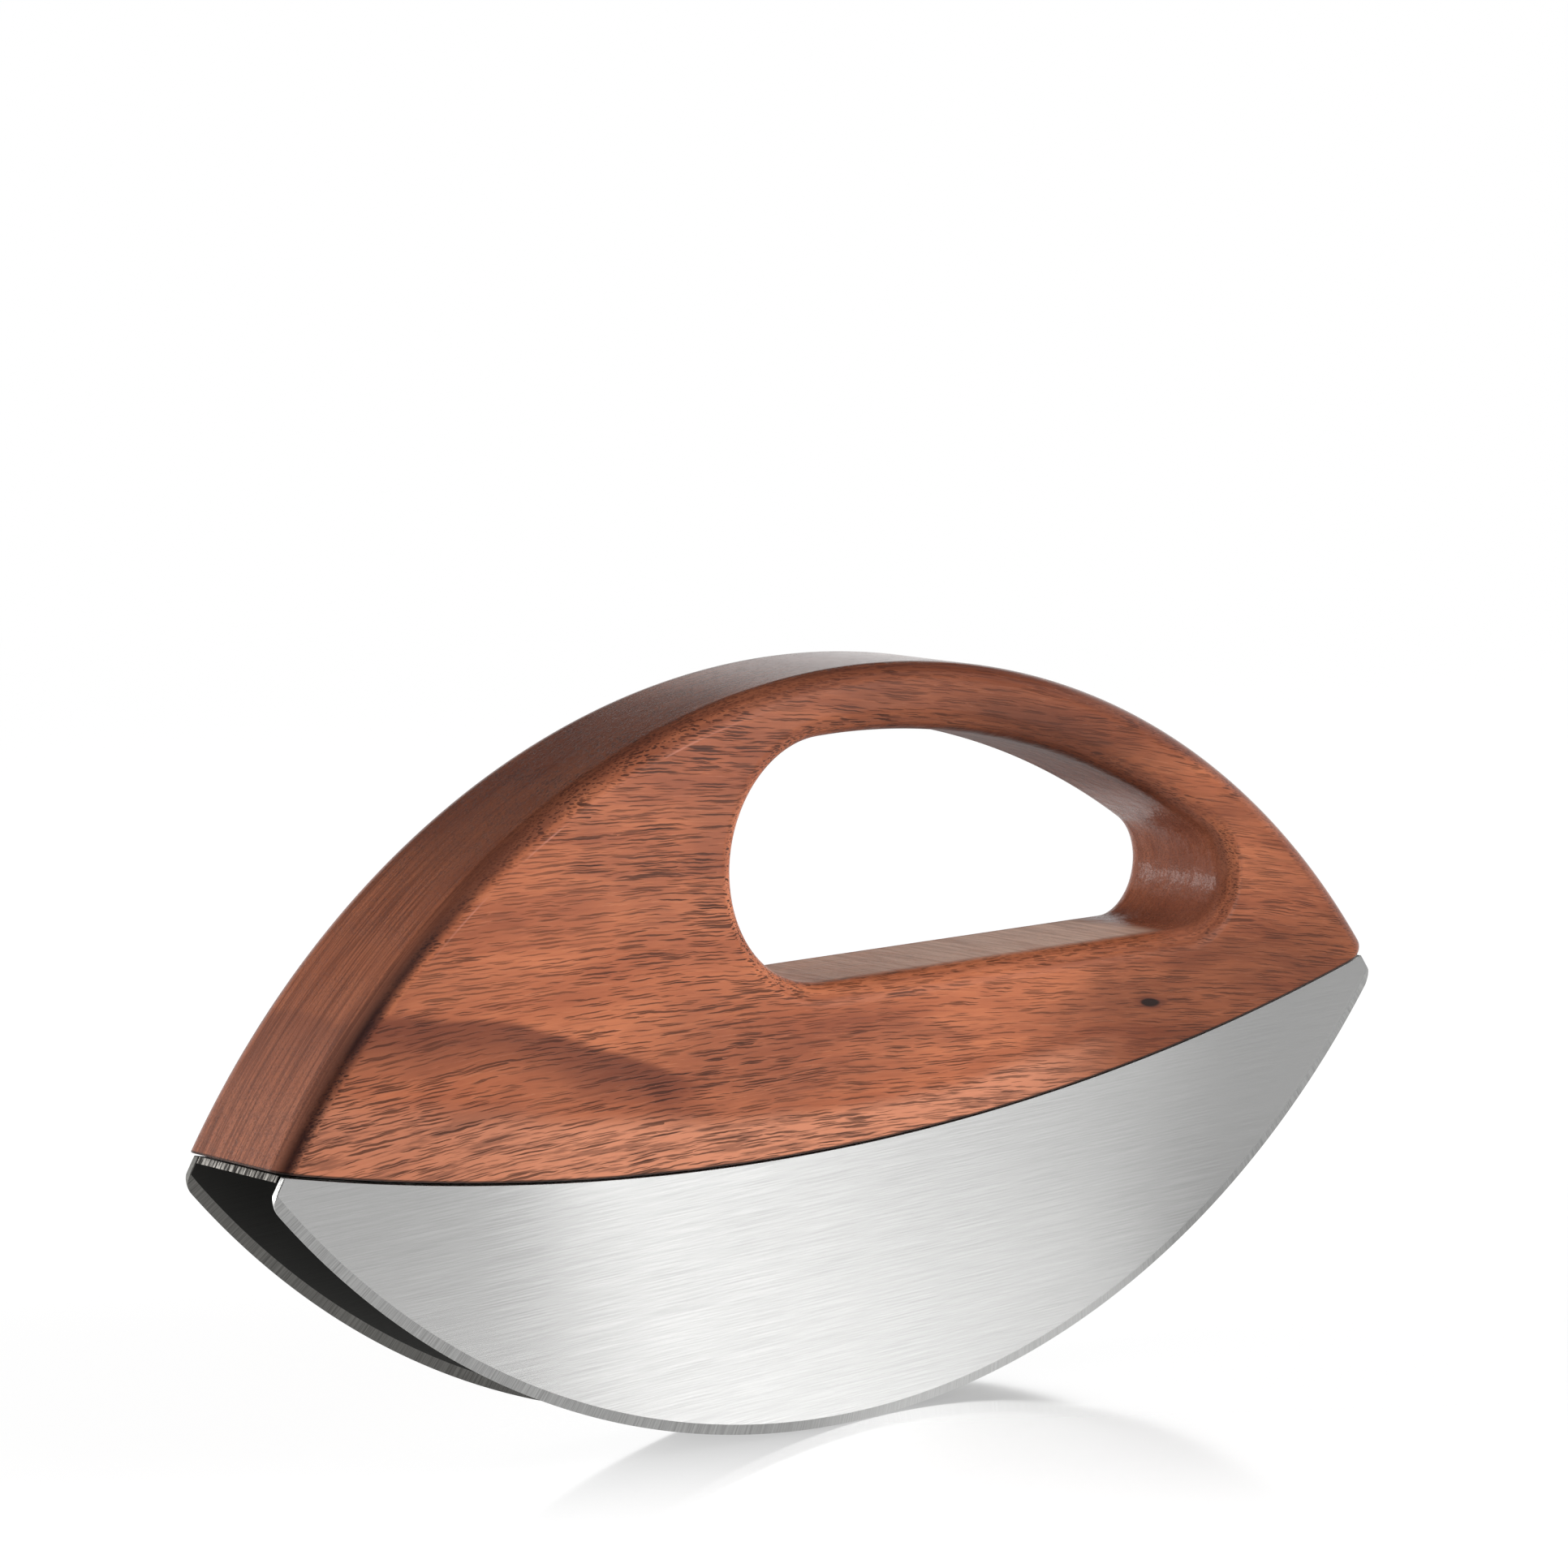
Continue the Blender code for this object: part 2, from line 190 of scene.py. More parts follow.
# Pores: a cell's length and width, the smallest and largest half size of its dash in cells, and the shift
# that sets one kind apart from the next
Pores = namedtuple("Pores", "length width smallest largest shift")
SHORT_PORES = Pores(0.0068, 0.00024, 0.14, 0.46, 0.0)
LONG_PORES = Pores(0.0092, 0.00030, 0.10, 0.45, 0.0271)
LARGE_PORES = Pores(0.0120, 0.00037, 0.06, 0.44, 0.0137)
PORE_STRENGTH = (0.0, 1.0, 0.75, 1.0)
PORE_BORDER = (0.80, 1.10, 1.0, 0.0)
PORE_COLOUR = srgb(26, 12, 9)
CLUSTER_FADE = (0.38, 0.60, 0.66, 1.0)
SMALL_PORE_SHARE = 0.90
LARGE_PORE_SHARE = (0.0, 0.7, 0.30, 0.90)
TOP_ZONE = {"centre": (-0.035, 0.0930), "half_length": 0.032, "half_width": 0.016}
RING_ZONE = {"centre": (-0.022, 0.0760), "half_length": 0.014, "half_width": 0.030}
PORES_TO_THE_RIGHT = (-0.015, 0.045, 1.0, 0.80)

# One small knot with a halo
KNOT = {"centre": (0.0549, 0.0585), "half_length": 0.0026, "half_width": 0.0009}
KNOT_FADE = (0.10, 0.80)
KNOT_COLOUR = srgb(30, 17, 13)
KNOT_HALO = {"centre": (0.0549, 0.0585), "half_length": 0.0040, "half_width": 0.0014}
KNOT_HALO_SHARE = 0.6
KNOT_HALO_COLOUR = srgb(84, 44, 32)

# The darkened rounding at the left end: partly scorched wood, partly painted shade
BURNT_AND_SHADE_DEPTH = (0.15, 0.60)
BURNT_AND_SHADE_PLACE = (-0.085, -0.050, 1.0, 0.15)
BURNT_AND_SHADE_SHARE = 0.95
BURNT_AND_SHADE_COLOUR = srgb(38, 23, 23)
SCORCH_AND_SHADE_FADE = (0.3, 0.6, 0.90, 1.0)

# The rim: lighter low at the left as painted light, with a dark stretch of fine lines higher up
ON_RIM = (0.6 * RIM_ROUNDOVER, 0.95 * RIM_ROUNDOVER)
PAINTED_LIGHT_RIM_SHARE, PAINTED_LIGHT_RIM_COLOUR = (-0.080, -0.050, 0.50, 0.15), srgb(196, 124, 96)
RIM_LINE_FADE, RIM_LINE_COLOUR = (0.38, 0.58, 0.52, 0.0), srgb(80, 44, 36)
DARK_RIM_START, DARK_RIM_END = (-0.074, -0.062), (-0.040, -0.015, 1.0, 0.25)
DARK_RIM_LINE_FADE, DARK_RIM_COLOUR = (0.35, 0.62, 0.06, 0.42), srgb(72, 48, 46)

# The other roundings, darker partly in their own colour and partly with painted shade, and the crest's
# painted highlight where the face ends high at the left
EDGE_SHADE_DEPTH, EDGE_SHADE_SHARE, EDGE_SHADE_COLOUR = (0.10, 0.60), (-0.030, 0.020, 0.15, 0.30), srgb(84, 46, 38)
CREST_INNER, CREST_OUTER = (-0.0001, 0.0001), (0.0001, 0.0004, 1.0, 0.0)
CREST_ASIDE = (0.0106, 0.0109)
CREST_START, CREST_END = (-0.080, -0.064), (-0.035, -0.012, 1.0, 0.0)
CREST_BREAK_FADE = (0.40, 0.60, 0.05, 0.42)
CREST_HIGHLIGHT_COLOUR = srgb(196, 132, 112)
SEAM_LINE_FADE = (SEAM_GAP + 0.0002, SEAM_GAP + 0.0004, 1.0, 0.0)
SEAM_LINE_SHARE, SEAM_LINE_COLOUR = 0.85, srgb(22, 14, 12)

# The opening's walls with painted shade, its pale floor, partly painted sheen, and its right end with painted
# light
INSIDE_ASIDE = (0.0090, 0.0108, 1.0, 0.0)
INSIDE_RADIUS = (RIM_RADIUS - 0.0060, RIM_RADIUS - 0.0045, 1.0, 0.0)
WALL_SHADE_SHARE, WALL_SHADE_COLOUR = 0.20, srgb(84, 44, 36)
END_WALL_LIGHT_SHARE, END_WALL_LIGHT_COLOUR = (0.056, 0.064, 0.0, 0.22), srgb(200, 130, 104)
LOW_FLOOR_HEIGHT, LOW_FLOOR_END = (0.068, 0.064), (0.056, 0.062, 1.0, 0.0)
LOW_FLOOR_ASIDE, LOW_FLOOR_GROWTH = (0.0068, 0.0090, 1.0, 0.0), (-0.010, 0.045, 1.0, 1.35)
CROSS_LINE_FADE = (0.4, 0.6, 0.45, 0.68)
PALE_FLOOR_AND_SHEEN_COLOUR = srgb(218, 184, 164)
DULL_ROOF_HEIGHT = (0.076, 0.084)

# The wood's gloss and relief
WOOD_ROUGHNESS = (0.3, 0.8, 0.22, 0.30)
DULL_WALL_ROUGHNESS = 0.25
RIM_GLARE = (-0.035, 0.0, 0.0, 0.11)
WOOD_SPECULAR = 0.15
FIBRE_RELIEF = 0.25
MOTTLE_RELIEF = 14.0
WOOD_BUMP = (0.25, 0.0001)

# Steel: colours, fades and the strength and depth in metres of each bump
BLADE_STEEL = srgb(196, 196, 195)
BLADE_ROUGHNESS = 0.22
BLADE_BUMP = (0.008, 0.00002)
# The faces between the blades: a darker steel, which is painted shade
SHADED_INNER_STEEL = srgb(110, 110, 108)
INNER_ROUGHNESS = 0.50
INNER_BUMP = (0.1, 0.00002)
FINE_BRUSH_SHARE, COARSE_BRUSH_SHARE = 0.85, 0.15
BRUSH_FADE = (0.34, 0.66)
BRUSH_DARKENING = 0.84
BRUSH_ROUGHNESS_SPREAD = 0.03
# Painted shade that darkens the blade's upper part
UPPER_SHADE_HEIGHTS, UPPER_SHADE_TINT = (0.012, 0.046), srgb(242, 242, 242)
BRUSH_ROTATION = 0.25
LINE_FADE = (0.3, 0.7)
GROUND_OUTER = (srgb(136, 136, 135), srgb(170, 170, 169))
# The slopes between the blades are darker: painted shade
GROUND_SHADED_INNER = (srgb(78, 77, 75), srgb(108, 107, 104))
# The outer slopes are lighter in the middle: a painted highlight
GROUND_HIGHLIGHT = (srgb(192, 192, 191), srgb(212, 212, 211))
GROUND_HIGHLIGHT_START, GROUND_HIGHLIGHT_END = (-0.022, 0.012), (0.042, 0.066, 1.0, 0.0)
GROUND_ROUGHNESS = 0.32
GROUND_BUMP = (0.3, 0.00003)
CUT_STEEL = srgb(215, 215, 213)
SCREW_STEEL = srgb(170, 170, 168)
PLAIN_DARKENING = 0.7
PLAIN_ROUGHNESS = 0.30
PLAIN_ROUGHNESS_SPREAD = 0.05
PLAIN_BUMP = (0.2, 0.00003)
DULL_END_ASIDE, DULL_END_PLACE, DULL_END_COLOUR = (0.0, 0.005), (-0.080, -0.095), srgb(112, 111, 108)
DULL_END_ROUGHNESS = 0.35
PLATE_STEEL = (srgb(42, 40, 38), srgb(150, 147, 142))
PLATE_FADE, PLATE_ROUGHNESS = (0.40, 0.62), (0.3, 0.7, 0.60, 0.45)
PLATE_BUMP = (0.4, 0.00005)

# The floor, which takes shadows near the knife and fades to plain white, in metres and levels
FLOOR_HALF_SIZE = 6.0
FLOOR_DROP = 0.0001
FLOOR_ROUGHNESS = 0.9
FLOOR_COLOUR = (0.85, 0.85, 0.85, 1.0)
SHADOW_FLOOR_GLOW = 0.90
SHADOW_FLOOR_COLOUR = (0.26, 0.26, 0.26, 1.0)
SHADOW_FLOOR_END = (0.35, 0.90)
WHITE = (1.0, 1.0, 1.0, 1.0)

# The mirror image on the floor fades forwards, outwards and behind the front blade
REFLECTION_FORWARD = (-0.65, -0.76)
REFLECTION_FADE = (0.0, 0.075, 1.0, 0.0)
REFLECTION_FADE_POWER = 1.7
REFLECTION_REACH = (0.12, 0.24, 1.0, 0.0)
REFLECTION_BACK = (BLADE_SPREAD / 2, 0.035, 1.0, 0.0)
REFLECTION_STRENGTH = 0.57
REFLECTION_ROUGHNESS = 0.11

# The lit card that the front blade mirrors: its place, its bright part and its levels
CARD_Y = -0.36
CARD_LEFT, CARD_BRIGHT_LEFT, CARD_BRIGHT_RIGHT, CARD_RIGHT = 0.13, 0.212, 0.390, 0.60
CARD_HEIGHT = 0.40
CARD_FADE = 0.010
CARD_LEVEL = (CARD_BRIGHT_LEFT, 0.335, 5.6, 2.10)
CARD_LEVEL_UPWARDS = (0.0, 0.30, 1.12, 0.50)
CARD_LEFT_LEVEL = 0.4
CARD_RIGHT_SHARE = 0.05

# Lamps and dark cards: place, point aimed at, width, height and, for lamps, the power in watts
KNIFE_MIDDLE = (0.0, 0.0, 0.05)
KEY_LAMP = ((1.0, -1.25, 0.32), KNIFE_MIDDLE, 0.9, 0.7, 40.0)
LEFT_FILL = ((-1.2, 0.85, 0.45), KNIFE_MIDDLE, 0.8, 0.6, 14.0)
CAMERA_SIDE_FLAG = ((-0.75, -0.90, 0.45), KNIFE_MIDDLE, 1.1, 1.1)
CEILING_FLAG = ((0.55, 0.55, 0.75), (0.55, 0.55, 0.0), 1.8, 1.7)
FLAG_COLOUR = (0.02, 0.02, 0.02, 1.0)
FLAG_ROUGHNESS = 0.9
AMBIENT_LEVEL = 0.28

# Camera, found by fitting the knife's outlines to the photograph
CAMERA_TARGET = Vector((-0.004351, 0.0, 0.089933))
CAMERA_DISTANCE = 0.858566
CAMERA_AZIMUTH = math.radians(-40.649)
CAMERA_ELEVATION = math.radians(8.986)
CAMERA_ROLL = math.radians(-1.822)
CAMERA_CLIP = (0.01, 100.0)
SENSOR_WIDTH = 36.0
PHOTO_PIXELS = 1932
FOCAL_PIXELS = 7591.1
FOCAL_LENGTH = FOCAL_PIXELS / PHOTO_PIXELS * SENSOR_WIDTH


# Outlines in the X-Z plane

def bearing(centre, point):
    return math.atan2(point[1] - centre[1], point[0] - centre[0])


def on_circle(centre, radius, angle):
    return (centre[0] + radius * math.cos(angle), centre[1] + radius * math.sin(angle))


def arc(centre, radius, start, end, steps):
    return [on_circle(centre, radius, start + (end - start) * i / steps) for i in range(steps + 1)]


def right_crossing(centre_a, radius_a, centre_b, radius_b):
    """Where two circles with their centres at X = 0 cross at the right."""
    apart = centre_b[1] - centre_a[1]
    above_a = (radius_a ** 2 - radius_b ** 2 + apart ** 2) / (2 * apart)
    return (math.sqrt(radius_a ** 2 - above_a ** 2), centre_a[1] + above_a)


def mirror(point):
    return (-point[0], point[1])


def join(*stretches):
    """One closed outline of stretches that each end where the next one starts."""
    return [point for stretch in stretches for point in stretch[:-1]]


def handle_outline(rim_inset, seam_inset):
    """The wood's outline with rounded lower corners, drawn in at the rim and at the seam."""
    rim_radius = RIM_RADIUS - rim_inset
    seam_radius = SEAM_RADIUS - SEAM_GAP - seam_inset
    right = right_crossing(RIM_CENTRE, rim_radius - RIGHT_CORNER_ROUNDING,
                           SEAM_CENTRE, seam_radius - RIGHT_CORNER_ROUNDING)
    left = mirror(right_crossing(RIM_CENTRE, rim_radius - LEFT_CORNER_ROUNDING,
                                 SEAM_CENTRE, seam_radius - LEFT_CORNER_ROUNDING))
    rim_right, rim_left = bearing(RIM_CENTRE, right), bearing(RIM_CENTRE, left)
    seam_right, seam_left = bearing(SEAM_CENTRE, right), bearing(SEAM_CENTRE, left)
    rim = arc(RIM_CENTRE, rim_radius, rim_right, rim_left, RIM_STEPS)
    left_corner = arc(left, LEFT_CORNER_ROUNDING, rim_left, seam_left + 2 * math.pi, CORNER_STEPS)
    seam = arc(SEAM_CENTRE, seam_radius, seam_left, seam_right, SEAM_STEPS)
    right_corner = arc(right, RIGHT_CORNER_ROUNDING, seam_right, rim_right, CORNER_STEPS)
    return join(rim, left_corner, seam, right_corner)


def opening_outline(outset):
    """The finger opening's outline, widened all round: right end, roof, left end and sloping floor."""
    wood_height = KNIFE_HEIGHT - BLADE_DEPTH
    left_radius = OPENING_LEFT_RADIUS_SHARE * wood_height
    right_radius = OPENING_RIGHT_RADIUS_SHARE * wood_height
    roof_radius = RIM_RADIUS + ROOF_EASING
    roof_centre = (ROOF_SHIFT_SHARE * HALF_LENGTH, KNIFE_HEIGHT - GRIP_DEPTH - roof_radius)

    def end_centre(x, radius):
        return (x, roof_centre[1] + math.sqrt((roof_radius - radius) ** 2 - (x - roof_centre[0]) ** 2))

    left = end_centre(OPENING_LEFT_SHARE * HALF_LENGTH, left_radius)
    right = end_centre(OPENING_RIGHT_SHARE * HALF_LENGTH, right_radius)
    narrowing = (left_radius - right_radius) / math.dist(left, right)
    below_floor = bearing(left, right) - math.acos(narrowing)
    roof_left, roof_right = bearing(roof_centre, left), bearing(roof_centre, right)
    right_end = arc(right, right_radius + outset, below_floor, roof_right, OPENING_END_STEPS)
    roof = arc(roof_centre, roof_radius + outset, roof_right, roof_left, ROOF_STEPS)
    left_end = arc(left, left_radius + outset, roof_left, below_floor + 2 * math.pi, OPENING_END_STEPS)
    floor_start, floor_end = left_end[-1], right_end[0]
    floor = [(floor_start[0] + (floor_end[0] - floor_start[0]) * i / ROOF_STEPS,
              floor_start[1] + (floor_end[1] - floor_start[1]) * i / ROOF_STEPS)
             for i in range(ROOF_STEPS + 1)]
    return join(right_end, roof, left_end, floor)


def blade_outline():
    """A finished blade's outline in the order seam, right end, cutting edge, left end."""
    corner = right_crossing(RIM_CENTRE, END_RADIUS - SHEET_CORNER_ROUNDING,
                            SEAM_CENTRE, SEAM_RADIUS + SHEET_CORNER_ROUNDING)
    tip = right_crossing(RIM_CENTRE, END_RADIUS - TIP_ROUNDING,
                         CUTTING_CENTRE, CUTTING_RADIUS - TIP_ROUNDING)
    seam_angle = bearing(SEAM_CENTRE, corner)
    top = arc(SEAM_CENTRE, SEAM_RADIUS, -math.pi - seam_angle, seam_angle, SEAM_STEPS)
    corner_arc = arc(corner, SHEET_CORNER_ROUNDING, seam_angle + math.pi, bearing(RIM_CENTRE, corner),
                     CORNER_STEPS)
    end = arc(RIM_CENTRE, END_RADIUS, bearing(RIM_CENTRE, corner), bearing(RIM_CENTRE, tip), CORNER_STEPS)
    tip_arc = arc(tip, TIP_ROUNDING, bearing(RIM_CENTRE, tip), bearing(CUTTING_CENTRE, tip), 2 * CORNER_STEPS)
    # The tip's last point is given twice, because join leaves out the last point of each stretch
    right_side = join(corner_arc, end, tip_arc, [tip_arc[-1]] * 2)
    edge_angle = bearing(CUTTING_CENTRE, tip)
    edge = arc(CUTTING_CENTRE, CUTTING_RADIUS, edge_angle, -math.pi - edge_angle, CUTTING_STEPS)
    left_side = [mirror(point) for point in reversed(right_side)]
    return join(top, right_side + [edge[0]], edge, left_side + [top[0]])


def inward_of(outline, i):
    """The outline's unit normal at a point, turned towards the blade's inside."""
    before, after = outline[i - 1], outline[(i + 1) % len(outline)]
    along = Vector((after[0] - before[0], after[1] - before[1])).normalized()
    normal = Vector((-along.y, along.x))
    inside = Vector((0.0, BLADE_DEPTH / 2)) - Vector(outline[i])
    return normal if normal.dot(inside) > 0 else -normal


# Meshes

def mesh_from(name, cage):
    bmesh.ops.recalc_face_normals(cage, faces=cage.faces)
    mesh = bpy.data.meshes.new(name)
    cage.to_mesh(mesh)
    cage.free()
    return mesh


def add_skin(cage, rings):
    """Quads between neighbouring rings of 3D points. Returns the rings' vertices."""
    skin = [[cage.verts.new(point) for point in ring] for ring in rings]
    for near, far in zip(skin, skin[1:]):
        for i in range(len(near)):
            cage.faces.new((near[i - 1], near[i], far[i], far[i - 1]))
    return skin


def ring_edges(cage, ring):
    return [cage.edges.get((ring[i - 1], ring[i])) for i in range(len(ring))]


def levels(radii):
    """Depths below a face at which roundings of these radii need sections."""
    depths = set()
    for radius in radii:
        for i in range(ROUNDOVER_STEPS + 1):
            depths.add(round(radius * (1 - math.sin(math.pi / 2 * i / ROUNDOVER_STEPS)), DEPTH_DIGITS))
    return sorted(depths)


def drawn_in(radius, depth):
    """How far a quarter-round of this radius draws an outline in at a depth below the face."""
    return radius - math.sqrt(radius ** 2 - (radius - depth) ** 2) if depth < radius else 0.0


def handle_mesh():
    """The wood: sections from the front face to the back one, and the two flat faces with the opening."""
    half = HANDLE_THICKNESS / 2
    cage = bmesh.new()
    outside, opening = [], []
    for depth in levels((RIM_ROUNDOVER, SEAM_EDGE_ROUNDING)):
        outline = handle_outline(drawn_in(RIM_ROUNDOVER, depth), drawn_in(SEAM_EDGE_ROUNDING, depth))
        outside.append((half - depth, outline))
    for depth in levels((OPENING_ROUNDOVER,)):
        opening.append((half - depth, opening_outline(drawn_in(OPENING_ROUNDOVER, depth))))
    skins = []
    for sections in (outside, opening):
        front = [[(x, -y, z) for x, z in outline] for y, outline in sections]
        back = [[(x, y, z) for x, z in outline] for y, outline in reversed(sections)]
        skins.append(add_skin(cage, front + back))
    for end in (0, -1):
        border = [edge for skin in skins for edge in ring_edges(cage, skin[end])]
        bmesh.ops.triangle_fill(cage, edges=border, use_beauty=True)
    return mesh_from("wooden_handle", cage)


def blade_mesh(name, side):
    """A ground blade with broken edges. Its side is -1 for the front blade and 1 for the back one."""
    middle_y = side * (BLADE_SPREAD - BLADE_THICKNESS) / 2
    half = BLADE_THICKNESS / 2
    outline = blade_outline()
    count = len(outline)
    face_ring, half_widths, ground = [], [], []
    for i, (x, z) in enumerate(outline):
        to_centre = Vector((CUTTING_CENTRE[0] - x, CUTTING_CENTRE[1] - z))
        ground_depth = CUTTING_RADIUS - to_centre.length
        share = min(1.0, max(0.0, ground_depth / GRIND_WIDTH))
        point = Vector((x, z)) + to_centre.normalized() * (1 - share) * GRIND_WIDTH
        face_ring.append(point + inward_of(outline, i) * SHEET_EDGE_BREAK * share)
        half_widths.append(max(EDGE_LAND / 2, min(half * share, half - SHEET_EDGE_BREAK)))
        ground.append(share < 1.0)
    cage = bmesh.new()
    rings = [[(p.x, middle_y - half, p.y) for p in face_ring],
             [(x, middle_y - h, z) for (x, z), h in zip(outline, half_widths)],
             [(x, middle_y + h, z) for (x, z), h in zip(outline, half_widths)],
             [(p.x, middle_y + half, p.y) for p in face_ring]]
    skin = add_skin(cage, rings)
    cage.faces.ensure_lookup_table()
    middle_band = 1
    for band in range(len(rings) - 1):
        for i in range(count):
            sloped = band != middle_band and (ground[i] or ground[i - 1])
            cage.faces[band * count + i].material_index = GROUND_SLOPE if sloped else CUT_EDGE
    for end in (0, -1):
        fill = bmesh.ops.triangle_fill(cage, edges=ring_edges(cage, skin[end]), use_beauty=True)
        outer = (end == 0) == (side < 0)
        for face in [g for g in fill["geom"] if isinstance(g, bmesh.types.BMFace)]:
            face.material_index = OUTER_FACE if outer else INNER_FACE
    uv = cage.loops.layers.uv.new("along_blade")
    for face in cage.faces:
        for loop in face.loops:
            loop[uv].uv = (loop.vert.co.x / KNIFE_LENGTH + 0.5, loop.vert.co.z / KNIFE_LENGTH)
    return mesh_from(name, cage)


def new_piece(name, mesh, materials, sharp_angle):
    for material in materials:
        mesh.materials.append(material)
    mesh.shade_smooth()
    mesh.set_sharp_from_angle(angle=sharp_angle)
    piece = bpy.data.objects.new(name, mesh)
    bpy.context.scene.collection.objects.link(piece)
    weighted = piece.modifiers.new("weighted_normals", "WEIGHTED_NORMAL")
    weighted.keep_sharp = True
    return piece


# Materials

class Graph:
    """Short ways to add the nodes that the materials here are made of."""

    def __init__(self, name):
        self.material = bpy.data.materials.new(name)
        self.material.use_nodes = True
        self.tree = self.material.node_tree
        self.shader = self.tree.nodes["Principled BSDF"]
        self.output = self.tree.nodes["Material Output"]

    def feed(self, socket, value):
        if isinstance(value, bpy.types.NodeSocket):
            self.tree.links.new(value, socket)
        else:
            socket.default_value = value

    def add(self, kind, **values):
        made = self.tree.nodes.new(kind)
        for name, value in values.items():
            self.feed(made.inputs[name], value)
        return made

    def feed_in_order(self, kind, *values):
        made = self.tree.nodes.new(kind)
        for socket, value in zip(made.inputs, values):
            self.feed(socket, value)
        return made

    def math(self, operation, *values):
        made = self.feed_in_order("ShaderNodeMath", *values)
        made.operation = operation
        return made.outputs[0]

    def plus(self, a, b):
        return self.math("ADD", a, b)

    def minus(self, a, b):
        return self.math("SUBTRACT", a, b)

    def over(self, a, b):
        return self.math("DIVIDE", a, b)

    def times(self, first, *others):
        for other in others:
            first = self.math("MULTIPLY", first, other)
        return first

    def strongest(self, first, *others):
        for other in others:
            first = self.math("MAXIMUM", first, other)
        return first

    def away(self, a, b):
        """The distance from the origin of a point with these two coordinates."""
        return self.math("SQRT", self.plus(self.times(a, a), self.times(b, b)))

    def range(self, value, low, high, to_low=0.0, to_high=1.0, smooth=True):
        made = self.feed_in_order("ShaderNodeMapRange", value, low, high, to_low, to_high)
        made.interpolation_type = "SMOOTHSTEP" if smooth else "LINEAR"
        return made.outputs[0]

    def mix(self, factor, a, b, blend="MIX"):
        made = self.tree.nodes.new("ShaderNodeMix")
        made.data_type = "RGBA"
        made.blend_type = blend
        # The node also has sockets for numbers and vectors; these are the ones for colours
        factor_socket, a_socket, b_socket = made.inputs[0], made.inputs[6], made.inputs[7]
        result = made.outputs[2]
        for socket, value in ((factor_socket, factor), (a_socket, a), (b_socket, b)):
            self.feed(socket, value)
        return result

    def mix_shaders(self, factor, a, b):
        return self.feed_in_order("ShaderNodeMixShader", factor, a.outputs[0], b.outputs[0])

    def position(self):
        coordinates = self.tree.nodes.new("ShaderNodeTexCoord")
        return self.feed_in_order("ShaderNodeSeparateXYZ", coordinates.outputs["Object"]).outputs

    def stretched(self, x, y, z, length, height, depth):
        """A vector in which one unit is this length along X, this height along Z and this depth along Y."""
        return self.feed_in_order("ShaderNodeCombineXYZ", self.over(x, length), self.over(y, depth),
                                  self.over(z, height)).outputs[0]

    def noise(self, x, y, z, pattern):
        vector = self.stretched(x, y, z, pattern.length, pattern.height, pattern.depth)
        return self.add("ShaderNodeTexNoise", Vector=vector, Scale=1.0, Detail=pattern.detail,
                        Roughness=pattern.roughness, Distortion=0.0).outputs["Fac"]

    def bump(self, height, strength, distance):
        made = self.add("ShaderNodeBump", Height=height, Strength=strength, Distance=distance)
        self.feed(self.shader.inputs["Normal"], made.outputs[0])

    def finish(self, **values):
        """Feed the shader's inputs, named with underscores for spaces."""
        for name, value in values.items():
            self.feed(self.shader.inputs[name.replace("_", " ")], value)
        return self.material


def pore_marks(graph, x, y, w, pores):
    """Short dark dashes along the grain, one in each stretched cell: 1 inside a dash, 0 outside."""
    shifted = graph.plus(w, pores.shift)
    vector = graph.stretched(x, y, shifted, pores.length, pores.width, pores.width)
    cells = graph.add("ShaderNodeTexVoronoi", Vector=vector, Scale=1.0, Randomness=1.0)
    random = graph.feed_in_order("ShaderNodeSeparateColor", cells.outputs["Color"])
    reach = graph.range(random.outputs[0], 0.0, 1.0, pores.smallest, pores.largest, smooth=False)
    strength = graph.range(random.outputs[1], *PORE_STRENGTH, smooth=False)
    return graph.times(graph.range(graph.over(cells.outputs["Distance"], reach), *PORE_BORDER), strength)


def streak(graph, x, w, centre, half_length, half_width, slope=0.0):
    """A soft figure in the wood, 1 in its middle: an ellipse along the grain or on a slope."""
    along = graph.minus(x, centre[0])
    across = graph.minus(graph.minus(w, centre[1]), graph.times(along, slope))
    a = graph.over(along, half_length)
    b = graph.over(across, half_width)
    return graph.range(graph.plus(graph.times(a, a), graph.times(b, b)), 0.0, 1.0, 1.0, 0.0)


def dark_figure(graph, x, z):
    """A figure with a sharp upper border, a bent line through its middle point, that fades downwards."""
    along = graph.minus(x, DARK_FIGURE_MIDDLE[0])
    line = graph.times(along, graph.plus(graph.times(along, DARK_FIGURE_BEND), DARK_FIGURE_SLOPE))
    depth = graph.minus(graph.plus(line, DARK_FIGURE_MIDDLE[1]), z)
    top = graph.range(depth, *FIGURE_TOP_FADE)
    bottom = graph.range(depth, FIGURE_BOTTOM_START, DARK_FIGURE_DEPTH, 1.0, 0.0)
    ends = graph.range(graph.math("ABSOLUTE", along), FIGURE_END_SHARE * DARK_FIGURE_HALF_LENGTH,
                       DARK_FIGURE_HALF_LENGTH, 1.0, 0.0)
    return graph.times(top, bottom, ends)


